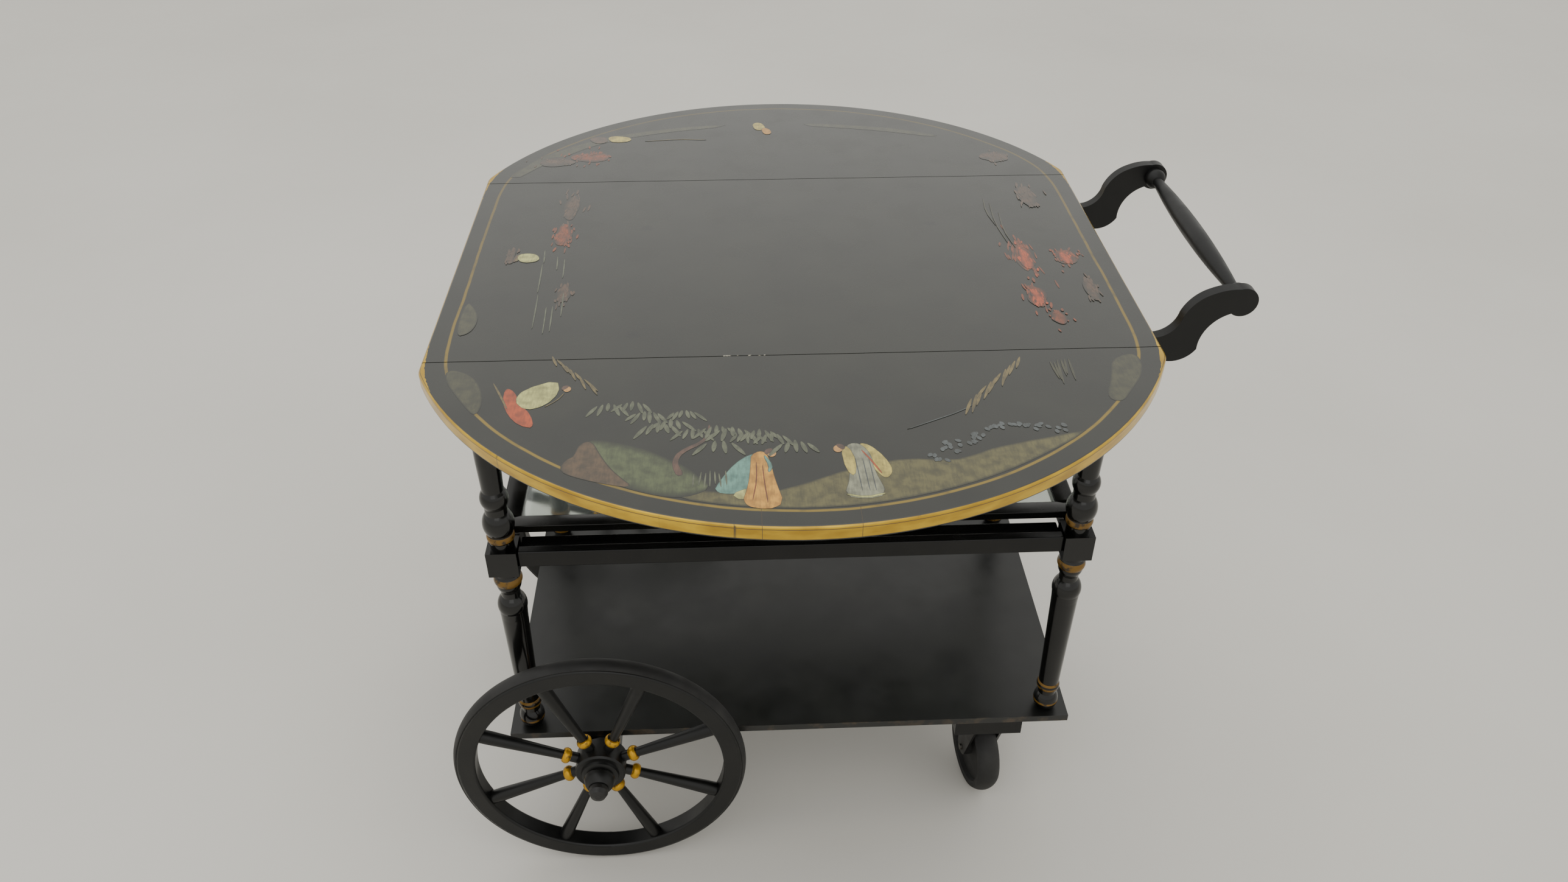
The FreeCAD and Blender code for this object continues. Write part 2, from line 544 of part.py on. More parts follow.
# ---------------------------------------------------------------- shelf, axle and bearers
half_shelf = "shelf_length / 2"
shelf_blank = box("ShelfBlank", (f"centre_shift - {half_shelf}", f"centre_shift + {half_shelf}"),
                  ("-shelf_width / 2", "shelf_width / 2"), (shelf_base, "shelf_level"))
node("lower_shelf", cut("LowerShelf", shelf_blank, leg_screws))
axle = node("wheel_axle", rod(
    "WheelAxle", "axle_radius", "y", ("-axle_half", "axle_half"), (wheel_middle, "wheel_radius")))
bearer = box(
    "AxleBearerBlank", (f"{wheel_middle} - bearer_width / 2", f"{wheel_middle} + bearer_width / 2"),
    ("-shelf_width / 2", "shelf_width / 2"), (f"{shelf_base} - bearer_height", shelf_base))
node("axle_bearer", cut("AxleBearer", bearer, axle))
washer = turned("AxleWasher", [
    ("axle_radius", "shelf_width / 2"), ("axle_radius + 7", "shelf_width / 2"),
    ("axle_radius + 7", "hub_inner - 0.3"), ("axle_radius", "hub_inner - 0.3"),
], (wheel_middle, 0, "wheel_radius"), STANDING)
node("axle_washers", group("AxleWashers", [washer, mirrored("AxleWasherBack", washer, "y")]))
nut = turned("AxleNut", [
    ("axle_radius", "hub_nose + 0.3"), ("axle_radius + 4.5", "hub_nose + 0.3"),
    ("axle_radius + 4.5", "axle_half - 3"), ("axle_radius + 2", "axle_half + 2"),
    ("axle_radius - 3", "axle_half + 4"), (0, "axle_half + 4"), (0, "axle_half"),
    ("axle_radius", "axle_half"),
], (wheel_middle, 0, "wheel_radius"), STANDING)
node("axle_nuts", group("AxleNuts", [nut, mirrored("AxleNutBack", nut, "y")]))

# ---------------------------------------------------------------- large wheels
felloe = "(wheel_radius - tyre_depth)"
rim_back = "(rim_face - rim_width)"
rim_middle = "(rim_face - rim_width / 2)"
bore = "axle_radius + running"
spoke_profile = [
    (0, "hub_radius - tenon_depth"), ("tenon", "hub_radius - tenon_depth"), ("tenon", "hub_radius"),
    ("spoke_root", "hub_radius"), ("spoke_root", "bead_at - bead_half"),
    ("bead_radius - 2.5", "bead_at - bead_half", "bead_half * 1.3"),
    ("bead_radius - 2.5", "bead_at + bead_half"), ("spoke_root - 0.5", "bead_at + bead_half"),
    ("spoke_root - 0.5", "bead_at + bead_half + 4"), ("spoke_tip", "rim_inner - 12"),
    ("spoke_tip", "rim_inner - 0.3"), ("tenon", "rim_inner - 0.3"),
    ("tenon", "rim_inner + tenon_depth"), (0, "rim_inner + tenon_depth"),
]
spokes = []
for number in range(SPOKES):
    turn = math.radians(360 / SPOKES * (number + 0.5))
    way = FreeCAD.Vector(math.cos(turn), 0, math.sin(turn))
    outward = FreeCAD.Rotation(FreeCAD.Vector(0, 0, 1), way)
    spoke_at = (wheel_middle, f"-{rim_middle}", "wheel_radius")
    spokes.append(turned(f"Spoke{number + 1}", spoke_profile, spoke_at, outward))
spokes_front = group("SpokesFront", spokes)
rim_blank = turned("RimBlank", [
    ("rim_inner + rim_soften", rim_back), (f"{felloe} - rim_soften", rim_back, "rim_soften"),
    (felloe, f"{rim_back} + rim_soften"), (felloe, "rim_face - rim_soften", "rim_soften"),
    (f"{felloe} - rim_soften", "rim_face"), ("rim_inner + rim_soften", "rim_face", "rim_soften"),
    ("rim_inner", "rim_face - rim_soften"), ("rim_inner", f"{rim_back} + rim_soften", "rim_soften"),
], (wheel_middle, 0, "wheel_radius"), STANDING)
crown = "(tyre_depth - tyre_shoulder)"
crown_sweep = f"tyre_width^2 / (8 * {crown}) + {crown} / 2"
tyre = turned("Tyre", [
    (felloe, f"{rim_middle} - tyre_width / 2"),
    (f"{felloe} + tyre_shoulder", f"{rim_middle} - tyre_width / 2", crown_sweep),
    (f"{felloe} + tyre_shoulder", f"{rim_middle} + tyre_width / 2"),
    (felloe, f"{rim_middle} + tyre_width / 2"),
], (wheel_middle, 0, "wheel_radius"), STANDING)
hub_blank = turned("HubBlank", [
    (bore, "hub_inner"), ("hub_radius - 11", "hub_inner"),
    ("hub_radius - 9", "hub_drum_in - 2", -6), ("hub_radius - 2", "hub_drum_in"),
    ("hub_radius", "hub_drum_in + 2"), ("hub_radius", "hub_drum_out - 2"),
    ("hub_radius - 2", "hub_drum_out"), ("nose_radius + 4", "hub_drum_out"),
    ("nose_radius + 3", "hub_drum_out + 3"), ("nose_radius - 2", "hub_drum_out + 5"),
    ("nose_radius", "hub_drum_out + 8", 22), ("nose_radius - 6", "hub_nose"), (bore, "hub_nose"),
], (wheel_middle, 0, "wheel_radius"), STANDING)
for label, piece in (("rim", cut("RimFront", rim_blank, spokes_front)), ("tyre", tyre),
                     ("spokes", spokes_front), ("hub", cut("HubFront", hub_blank, spokes_front))):
    node(f"wheel_front_{label}", piece)
    node(f"wheel_back_{label}", mirrored(f"{piece.Name}Back", piece, "y"))

# ---------------------------------------------------------------- casters
cleat_base = f"({shelf_base} - cleat_drop)"
swivel = ("centre_shift + caster_x", "-caster_y")
plate_base = f"({cleat_base} - 3)"
race_base = f"({cleat_base} - 7)"
crown_top = f"({race_base} - 0.3)"
crown_base = f"({race_base} - 8)"
caster_screws_front = group("CasterScrewsFront", [
    screw(f"CasterScrew{index}", (f"{swivel[0]} {dx} screw_spread", f"{swivel[1]} {dy} screw_spread",
                                  plate_base), UPRIGHT, 4, 2, 15)
    for index, (dx, dy) in enumerate(("--", "-+", "+-", "++"))])
caster_screws = node("caster_screws", group("CasterScrews", [
    caster_screws_front, mirrored("CasterScrewsBack", caster_screws_front, "y")]))
cleat = box("CasterBearerBlank", ("centre_shift + cleat_low", "centre_shift + cleat_high"),
            ("-shelf_width / 2", "shelf_width / 2"), (cleat_base, shelf_base))
node("caster_bearer", cut("CasterBearer", cleat, caster_screws))
caster_plate = fuse(
    "CasterPlateBlank",
    box("CasterPlateFlat", (f"{swivel[0]} - plate_half", "centre_shift + cleat_high"),
        (f"{swivel[1]} - plate_half", f"{swivel[1]} + plate_half"), (plate_base, cleat_base)),
    rod("CasterRace", "race_radius", "z", (race_base, plate_base), swivel),
    rod("KingPin", "king_radius", "z", (f"{crown_base} - 0.4", plate_base), swivel),
    rod("KingPinHead", "king_head", "z", (f"{crown_base} - 3", f"{crown_base} - 0.4"), swivel))
plate_front = node("caster_front_plate", cut("CasterPlate", caster_plate, caster_screws_front))
node("caster_back_plate", mirrored("CasterPlateBack", plate_front, "y"))

# The swivelling pieces are built about the swivel axis, trailing along -X, and then turned.
half_gap = "fork_gap / 2"
half_fork = "fork_gap / 2 + fork_wall"
crown_span = ("-crown_back", "crown_front")
crown_upper = f"{crown_base} + fork_wall"
cheek_profile = [
    ("-crown_back", crown_base), ("-caster_trail - cheek_foot", "caster_radius", "cheek_foot * 1.05"),
    ("-caster_trail + cheek_foot", "caster_radius"), ("crown_front", crown_base),
    ("crown_front", crown_upper), ("-crown_back", crown_upper),
]
cheek = board("CheekNear", cheek_profile, "fork_wall", (0, f"-{half_gap}", 0), STANDING)
cheek_far = board("CheekFar", cheek_profile, "fork_wall", (0, half_fork, 0), STANDING)
fork_blank = fuse("ForkBlank", cheek, cheek_far,
                  box("ForkCrown", crown_span, (f"-({half_fork})", half_fork), (crown_base, crown_upper)),
                  rod("ForkRace", "race_radius - 2", "z", (f"{crown_base} + 1", crown_top), (0, 0)))
king_span = (f"{crown_base} - 1", f"{crown_top} + 1")
king_bore = rod("KingBore", "king_radius + running", "z", king_span, (0, 0))
pin = rod("CasterPin", "pin_radius", "y", (f"-({half_fork}) - 2", f"{half_fork} + 2"),
          ("-caster_trail", "caster_radius"))
fork = cut("Fork", cut("ForkBored", fork_blank, king_bore), pin)
tread_side = "caster_radius - tyre_edge"
half_tread = "caster_tread / 2"
tread_sweep = "caster_tread^2 / (8 * tyre_edge) + tyre_edge / 2"
caster_bore = "pin_radius + running"
caster_wheel = turned("CasterWheel", [
    (caster_bore, f"-{half_gap} + 0.5"), ("caster_hub", f"-{half_gap} + 0.5"),
    ("caster_hub", "-web_half"), ("caster_radius - 15", "-web_half"),
    ("caster_radius - 13", f"-{half_tread} + 1"), (tread_side, f"-{half_tread}", tread_sweep),
    (tread_side, half_tread), ("caster_radius - 13", f"{half_tread} - 1"),
    ("caster_radius - 15", "web_half"), ("caster_hub", "web_half"),
    ("caster_hub", f"{half_gap} - 0.5"), (caster_bore, f"{half_gap} - 0.5"),
], ("-caster_trail", 0, "caster_radius"), ALONG["y"])
caster_turn = FreeCAD.Rotation(FreeCAD.Vector(0, 0, 1), CASTER_ANGLE)
for label, piece in (("fork", fork), ("pin", pin), ("wheel", caster_wheel)):
    turned_piece = group(f"Caster{label.title()}Turned", [piece])
    place(turned_piece, (*swivel, 0), caster_turn)
    node(f"caster_front_{label}", turned_piece)
    node(f"caster_back_{label}", mirrored(f"Caster{label.title()}Back", turned_piece, "y"))

# ---------------------------------------------------------------- check and write
doc.recompute()
faults = [one.Label for one in doc.Objects if {"Invalid", "Error"} & set(one.State)]
faults += [one.Label for one in nodes if one.Shape.isNull() or not one.Shape.isValid()]
if faults:
    raise SystemExit(f"these did not build: {faults}")
os.makedirs("parts", exist_ok=True)
for piece in nodes:
    piece.Shape.exportStep(f"parts/{piece.Label}.step")
whole = Part.makeCompound([piece.Shape for piece in nodes]).BoundBox
print(len(nodes), "nodes")
print("box", whole)
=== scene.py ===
"""Looks of a black lacquered drop-leaf tea cart with a painted and gilded top.

Everything is in metres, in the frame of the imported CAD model: +Z up, +X towards the handle.
"""

import logging
import math
import random
from dataclasses import dataclass, field
from enum import Enum
from typing import Optional, Sequence, Union

import bpy
from mathutils import Matrix, Vector

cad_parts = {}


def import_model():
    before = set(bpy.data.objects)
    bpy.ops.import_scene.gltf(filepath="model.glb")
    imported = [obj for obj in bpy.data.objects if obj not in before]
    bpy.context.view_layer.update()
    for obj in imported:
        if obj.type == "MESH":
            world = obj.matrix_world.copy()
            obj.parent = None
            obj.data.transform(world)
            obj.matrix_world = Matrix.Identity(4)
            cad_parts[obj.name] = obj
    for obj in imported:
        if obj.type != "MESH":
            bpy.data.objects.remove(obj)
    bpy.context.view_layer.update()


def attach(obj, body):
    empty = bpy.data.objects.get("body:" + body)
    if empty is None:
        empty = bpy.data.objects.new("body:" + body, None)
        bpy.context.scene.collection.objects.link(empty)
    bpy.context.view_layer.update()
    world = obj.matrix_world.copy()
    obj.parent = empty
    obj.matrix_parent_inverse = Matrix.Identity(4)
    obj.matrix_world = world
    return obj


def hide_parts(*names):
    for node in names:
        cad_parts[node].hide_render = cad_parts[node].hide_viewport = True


LOG = logging.getLogger("tea_cart")
MM = 0.001
TABLE_SHIFT = 0.0265  # the table's middle lies this far towards -X from the origin
TOP_LEVEL = 0.711

Point = tuple[float, float]
Source = Union[bpy.types.Node, bpy.types.NodeSocket, float, Sequence[float], None]


# ---------------------------------------------------------------- nodes and colours
def linear(code: str) -> tuple[float, float, float, float]:
    """Turn an sRGB hex colour to linear light.

    Args:
        code: Six hex digits.

    Returns:
        Red, green, blue and an alpha of 1.
    """
    parts = [int(code[at:at + 2], 16) / 255 for at in (0, 2, 4)]
    light = [part / 12.92 if part <= 0.04045 else ((part + 0.055) / 1.055) ** 2.4 for part in parts]
    return (*light, 1.0)


def add(tree: bpy.types.NodeTree, kind: str, *sources: Source,
        at: Optional[dict] = None, **settings: object) -> bpy.types.Node:
    """Add a node with its settings and links.

    Args:
        tree: The tree that the node joins.
        kind: The node's type, without its ShaderNode prefix.
        sources: What feeds its first sockets, in order. None leaves a socket as it is.
        at: What feeds other sockets, by name or index.
        settings: The node's own settings.

    Returns:
        The new node.
    """
    made = tree.nodes.new("ShaderNode" + kind)
    for name, setting in settings.items():
        setattr(made, name, setting)
    for socket, source in [*enumerate(sources), *(at or {}).items()]:
        if isinstance(source, bpy.types.Node):
            source = source.outputs[0]
        if isinstance(source, bpy.types.NodeSocket):
            tree.links.new(source, made.inputs[socket])
        elif source is not None:
            made.inputs[socket].default_value = source
    return made


@dataclass(frozen=True)
class Mask:
    """Where another colour lies over a finish, and how that colour shines."""

    where: bpy.types.NodeSocket
    colour: Union[str, bpy.types.NodeSocket]
    roughness: float = 0.4
    metallic: float = 0.0


@dataclass(frozen=True)
class Finish:
    """A finish with one base colour, a second one in soft clouds, and a fine bump."""

    name: str
    colour: str = "101110"
    clouded: str = "191A17"
    cloud_mm: float = 60.0
    roughness: tuple[float, float] = (0.16, 0.3)
    smear_mm: float = 35.0
    metallic: float = 0.0
    ior: float = 1.5
    coat: float = 0.0
    bump_mm: float = 2.0
    bump: float = 0.02
    stretch: tuple[float, float, float] = (1.0, 1.0, 1.0)

    def masks(self, tree: bpy.types.NodeTree, place: bpy.types.NodeSocket) -> list[Mask]:
        """What lies over the base. A plain finish has nothing over it."""
        return []

    def finish_shader(self, tree: bpy.types.NodeTree, shader: bpy.types.Node) -> None:
        """Set what only some finishes have."""

    def make(self) -> bpy.types.Material:
        """Build the material, or find it if it has been built already."""
        known = bpy.data.materials.get(self.name)
        if known:
            return known
        material = bpy.data.materials.new(self.name)
        material.use_nodes = True
        tree = material.node_tree
        tree.nodes.clear()
        place = add(tree, "TexCoord").outputs["Object"]
        grain = add(tree, "Mapping", place, at={"Scale": self.stretch})
        cloud = add(tree, "TexNoise", at={"Vector": grain, "Scale": 1000 / self.cloud_mm, "Detail": 4.0})
        smear = add(tree, "TexNoise", at={"Vector": place, "Scale": 1000 / self.smear_mm, "Detail": 3.0})
        ripple = add(tree, "TexNoise", at={"Vector": grain, "Scale": 1000 / self.bump_mm, "Detail": 2.0})
        share = add(tree, "MapRange", cloud, 0.35, 0.7, 0.0, 1.0)
        colour = add(tree, "Mix", share, data_type="RGBA",
                     at={6: linear(self.colour), 7: linear(self.clouded)}).outputs[2]
        roughness = add(tree, "MapRange", smear, 0.3, 0.7, *self.roughness).outputs[0]
        metallic: Source = self.metallic
        for mask in self.masks(tree, place):
            over = linear(mask.colour) if isinstance(mask.colour, str) else mask.colour
            colour = add(tree, "Mix", mask.where, data_type="RGBA", at={6: colour, 7: over}).outputs[2]
            roughness = add(tree, "Mix", mask.where, at={2: roughness, 3: mask.roughness}).outputs[0]
            metallic = add(tree, "Mix", mask.where, at={2: metallic, 3: mask.metallic}).outputs[0]
        relief = add(tree, "Bump", at={"Height": ripple, "Strength": self.bump, "Distance": 0.001})
        shader = add(tree, "BsdfPrincipled", at={
            "Base Color": colour, "Roughness": roughness, "Metallic": metallic,
            "IOR": self.ior, "Coat Weight": self.coat, "Coat Roughness": 0.08, "Normal": relief})
        self.finish_shader(tree, shader)
        add(tree, "OutputMaterial", shader)
        return material

    def dress(self, *names: str) -> None:
        """Put this finish on CAD nodes."""
        for name in names:
            piece = bpy.data.objects[name]
            if not piece.material_slots:
                piece.data.materials.append(None)
            for slot in piece.material_slots:
                slot.material = self.make()


# ---------------------------------------------------------------- finishes
# Gilding here is bronze powder in varnish: half metallic, soft, a little patchy.
GILT = "A98308"
GILT_PALE = "CFA81C"
GILT_WORN = "8A7326"


@dataclass(frozen=True)
class BoardLacquer(Finish):
    """Rubbed black lacquer of the tabletop, with its gilt stripe and gilt edge.

    To the eye it is a deep olive black with a soft mirror, and the gilding is drawn on it by hand.
    """

    stripe_half: float = 1.3 * MM
    stripe_x: float = 324 * MM
    stripe_radius: float = 347 * MM
    stripe_offset: float = 75 * MM
    corner: float = 26 * MM
    band_low: float = 0.6988
    edge_x: float = 343 * MM
    edge_radius: float = 370 * MM
    edge_offset: float = 72 * MM
    edge_corner: float = 30 * MM
    lap: float = 1.3 * MM
    wander: float = 0.6 * MM
    seam_y: float = 195.5 * MM
    # height of the rim's groove, where a dark line of painted shade is drawn
    groove_shade_level: float = 0.7082
    crack_x: float = 38.5 * MM
    crack_back: float = -416 * MM
    chipped: Point = (-45 * MM, -195.2 * MM)
    spots: tuple[Point, ...] = ((-0.149, 0.071), (0.164, 0.071), (-0.152, -0.154))

    def masks(self, tree: bpy.types.NodeTree, place: bpy.types.NodeSocket) -> list[Mask]:
        """The stripe, the edge band with its painted shade line in the groove and worn gaps, cracks,
        chips and spots.
        """
        centred = add(tree, "Mapping", place, at={"Location": (TABLE_SHIFT, 0, 0)})
        axes = add(tree, "SeparateXYZ", centred)
        x, y, z = axes.outputs
        along = add(tree, "Math", x, operation="ABSOLUTE")
        across = add(tree, "Math", y, operation="ABSOLUTE")
        inward = add(tree, "Math", across, self.stripe_offset, operation="SUBTRACT")
        spoke = add(tree, "CombineXYZ", x, inward, 0.0)
        reach = add(tree, "VectorMath", spoke, operation="LENGTH").outputs["Value"]
        arc = add(tree, "Math", reach, self.stripe_radius, operation="SUBTRACT")
        ends = add(tree, "Math", along, self.stripe_x, operation="SUBTRACT")
        ring = add(tree, "Math", arc, ends, self.corner, operation="SMOOTH_MAX")
        wobble = add(tree, "TexNoise", at={"Vector": centred, "Scale": 14.0, "Detail": 2.0})
        sway = add(tree, "MapRange", wobble, 0.3, 0.7, -self.wander, self.wander)
        drawn = add(tree, "Math", ring, sway, operation="ADD")
        off_line = add(tree, "Math", drawn, operation="ABSOLUTE")
        line = add(tree, "MapRange", off_line, self.stripe_half - 0.0004, self.stripe_half + 0.0005,
                   1.0, 0.0)
        patch = add(tree, "TexNoise", at={"Vector": centred, "Scale": 45.0, "Detail": 5.0})
        faded = add(tree, "MapRange", y, -0.25, 0.3, 0.95, 0.35)
        rubbed = add(tree, "MapRange", patch, 0.3, 0.5, 0.5, 1.0)
        kept = add(tree, "Math", rubbed, faded, operation="MULTIPLY")
        facing = add(tree, "SeparateXYZ", add(tree, "TexCoord").outputs["Normal"])
        up = add(tree, "Math", facing.outputs[2], 0.97, operation="GREATER_THAN")
        left = add(tree, "Math", line, kept, operation="MULTIPLY")
        stripe = add(tree, "Math", left, up, operation="MULTIPLY")
        # the rim is what doesn't face up, above the bevel, and isn't a seam
        steep = add(tree, "MapRange", facing.outputs[2], 0.86, 0.95, 1.0, 0.0)
        above = add(tree, "MapRange", z, self.band_low - 0.0003, self.band_low + 0.0003, 0.0, 1.0)
        at_seam = add(tree, "Math", across, self.seam_y, 1.2 * MM, operation="COMPARE")
        sideways = add(tree, "Math", facing.outputs[1], operation="ABSOLUTE")
        seam_face = add(tree, "Math", at_seam, add(tree, "Math", sideways, 0.9, operation="GREATER_THAN"),
                        operation="MULTIPLY")
        outside = add(tree, "Math", 1.0, seam_face, operation="SUBTRACT")
        rim = add(tree, "Math", add(tree, "Math", steep, above, operation="MULTIPLY"), outside,
                  operation="MULTIPLY")
        outer_y = add(tree, "Math", across, self.edge_offset, operation="SUBTRACT")
        outer_spoke = add(tree, "CombineXYZ", x, outer_y, 0.0)
        outer = add(tree, "VectorMath", outer_spoke, operation="LENGTH").outputs["Value"]
        outer_arc = add(tree, "Math", outer, self.edge_radius, operation="SUBTRACT")
        outer_end = add(tree, "Math", along, self.edge_x, operation="SUBTRACT")
        outline = add(tree, "Math", outer_arc, outer_end, self.edge_corner, operation="SMOOTH_MAX")
        ragged = add(tree, "MapRange", add(tree, "TexNoise", at={
            "Vector": centred, "Scale": 160.0, "Detail": 3.0}), 0.3, 0.7, -self.wander, self.wander)
        lapped = add(tree, "Math", add(tree, "Math", outline, ragged, operation="ADD"), -self.lap,
                     operation="GREATER_THAN")
        on_top = add(tree, "Math", lapped, up, operation="MULTIPLY")
        rim = add(tree, "Math", rim, on_top, operation="MAXIMUM")
        down_rim = add(tree, "Mapping", centred, at={"Scale": (1, 1, 0.05)})
        flaked = add(tree, "TexNoise", at={"Vector": down_rim, "Scale": 90.0, "Detail": 3.0})
        gaps = add(tree, "MapRange", flaked, 0.27, 0.33, 0.0, 1.0)
        band = add(tree, "Math", rim, gaps, operation="MULTIPLY")
        along_rim = add(tree, "Mapping", centred, at={"Scale": (1, 1, 3)})
        tone = add(tree, "TexNoise", at={"Vector": along_rim, "Scale": 30.0, "Detail": 3.0})
        gilt = add(tree, "Mix", add(tree, "MapRange", tone, 0.35, 0.65), data_type="RGBA",
                   at={6: linear(GILT), 7: linear(GILT_PALE)}).outputs[2]
        # painted shade: a dark line along the rim's groove, where the moulding's step lies in shadow
        groove_shade = add(tree, "Math", z, self.groove_shade_level, 0.35 * MM, operation="COMPARE")
        groove_shade_on = add(tree, "Math", groove_shade, rim, operation="MULTIPLY")
        crack = add(tree, "Math", along, self.crack_x, 0.2 * MM, operation="COMPARE")
        crack_end = add(tree, "Math", y, self.crack_back, operation="LESS_THAN")
        cracks = add(tree, "Math", crack, crack_end, operation="MULTIPLY")
        chip_noise = add(tree, "TexNoise", at={"Vector": centred, "Scale": 260.0, "Detail": 2.0})
        chip = add(tree, "MapRange", chip_noise, 0.56, 0.62)
        chip_x = add(tree, "Math", x, self.chipped[0], 22 * MM, operation="COMPARE")
        chip_y = add(tree, "Math", y, self.chipped[1], 0.9 * MM, operation="COMPARE")
        chips = add(tree, "Math", add(tree, "Math", chip, chip_x, operation="MULTIPLY"), chip_y,
                    operation="MULTIPLY")
        spots: Source = 0.0
        for spot_x, spot_y in self.spots:
            apart = add(tree, "VectorMath", centred, (spot_x, spot_y, TOP_LEVEL),
                        operation="DISTANCE").outputs["Value"]
            spots = add(tree, "Math", add(tree, "MapRange", apart, 0.003, 0.009, 0.7, 0.0), spots,
                        operation="MAXIMUM")
        return [
            Mask(spots.outputs[0], "050505", 0.3),
            Mask(stripe.outputs[0], GILT_WORN, 0.42, 0.3),
            Mask(band.outputs[0], gilt, 0.34, 0.6),
            # painted shade in the rim's groove
            Mask(groove_shade_on.outputs[0], "5A4420", 0.5, 0.2),
            Mask(cracks.outputs[0], "3A2A10", 0.5),
            Mask(chips.outputs[0], "B9B4A2", 0.6),
        ]


@dataclass(frozen=True)
class RingedLacquer(Finish):
    """Black lacquer of the turned legs, with rings gilded while the lathe turned them."""

    rings: tuple[Point, ...] = (
        (0.479, 0.4865), (0.4175, 0.4275), (0.2265, 0.2305), (0.2335, 0.2365), (0.2045, 0.2075))

    def masks(self, tree: bpy.types.NodeTree, place: bpy.types.NodeSocket) -> list[Mask]:
        """One gilt ring for each pair of heights, worn through in places."""
        height = add(tree, "SeparateXYZ", place).outputs[2]
        flaked = add(tree, "TexNoise", at={"Vector": place, "Scale": 110.0, "Detail": 4.0})
        worn = add(tree, "MapRange", flaked, 0.36, 0.5, 0.15, 0.95)
        found = []
        for low, high in self.rings:
            near = add(tree, "Math", height, (low + high) / 2, (high - low) / 2, operation="COMPARE")
            ring = add(tree, "Math", near, worn, operation="MULTIPLY").outputs[0]
            found.append(Mask(ring, "75561C", 0.42, 0.35))
        return found


@dataclass(frozen=True)
class BeadedLacquer(Finish):
    """Black lacquer of a wheel's spokes, with the bead on each one gilded."""

    middle: tuple[float, float] = (-0.2505, 0.169)
    bead: Point = (0.0372, 0.0468)

    def masks(self, tree: bpy.types.NodeTree, place: bpy.types.NodeSocket) -> list[Mask]:
        """A gilt ring at one distance from the wheel's middle."""
        x, _, z = add(tree, "SeparateXYZ", place).outputs
        flat = add(tree, "CombineXYZ", x, z, 0.0)
        reach = add(tree, "VectorMath", flat, (*self.middle, 0.0), operation="DISTANCE").outputs["Value"]
        low, high = self.bead
        near = add(tree, "Math", reach, (low + high) / 2, (high - low) / 2, operation="COMPARE")
        flaked = add(tree, "TexNoise", at={"Vector": place, "Scale": 150.0, "Detail": 4.0})
        worn = add(tree, "MapRange", flaked, 0.33, 0.47, 0.2, 1.0)
        ring = add(tree, "Math", near, worn, operation="MULTIPLY").outputs[0]
        return [Mask(ring, "BC8E1E", 0.32, 0.6)]


@dataclass(frozen=True)
class WornLacquer(Finish):
    """Black lacquer that has rubbed to brown wood along the long edges of a board."""

    edge_y: float = 0.1886
    edge_width: float = 0.0016
    scale: float = 70.0

    def masks(self, tree: bpy.types.NodeTree, place: bpy.types.NodeSocket) -> list[Mask]:
        """A broken brown line on both long edges."""
        _, y, _ = add(tree, "SeparateXYZ", place).outputs
        out = add(tree, "Math", y, operation="ABSOLUTE")
        near = add(tree, "MapRange", out, self.edge_y, self.edge_y + self.edge_width)
        broken = add(tree, "MapRange", add(tree, "TexNoise", at={
            "Vector": place, "Scale": self.scale, "Detail": 5.0}), 0.52, 0.68, 0.0, 0.3)
        return [Mask(add(tree, "Math", near, broken, operation="MULTIPLY").outputs[0], "6E5A40", 0.5)]


@dataclass(frozen=True)
class ClearGlass(Finish):
    """Old float glass: clear, faintly green, a little dusty."""

    def finish_shader(self, tree: bpy.types.NodeTree, shader: bpy.types.Node) -> None:
        """Let the light through."""
        shader.inputs["Transmission Weight"].default_value = 0.92


@dataclass(frozen=True)
class BrushFilm(Finish):
    """Oil paint laid thinly on lacquer, so that the black shows between the brush's hairs.

    It reads the piece's own attribute "cover", which falls to nothing at a stroke's edge.
    """

    paint: str = "808080"
    shade: str = "505050"
    strength: float = 0.8
    hair_mm: float = 1.6

    def masks(self, tree: bpy.types.NodeTree, place: bpy.types.NodeSocket) -> list[Mask]:
        """The paint, streaked along the brush's way and fading at the edge."""
        drawn = add(tree, "Mapping", place, at={"Scale": (1.0, 0.16, 1.0)})
        hairs = add(tree, "TexNoise", at={"Vector": drawn, "Scale": 1000 / self.hair_mm, "Detail": 3.0})
        blots = add(tree, "TexNoise", at={"Vector": place, "Scale": 110.0, "Detail": 4.0})
        mottled = add(tree, "Math", hairs, blots, operation="MULTIPLY")
        cover = add(tree, "Attribute", attribute_name="cover").outputs["Fac"]
        held = add(tree, "MapRange", mottled, 0.14, 0.34, 0.62 * self.strength, self.strength)
        laid = add(tree, "Math", held, cover, operation="MULTIPLY", use_clamp=True)
        tone = add(tree, "MapRange", blots, 0.25, 0.6)
        paint = add(tree, "Mix", tone, data_type="RGBA",
                    at={6: linear(self.shade), 7: linear(self.paint)}).outputs[2]
        return [Mask(laid.outputs[0], paint, 0.34)]


# Rubbed lacquer over beech: a deep olive black with a soft mirror under clear varnish. The thin oil
# paint lets the same lacquer show through.
GROUND: dict[str, object] = {
    "colour": "13140C", "clouded": "1B1C13", "roughness": (0.2, 0.32), "ior": 1.5, "coat": 0.5}
BOARD = BoardLacquer("rubbed_black_lacquer_gilded", **GROUND)
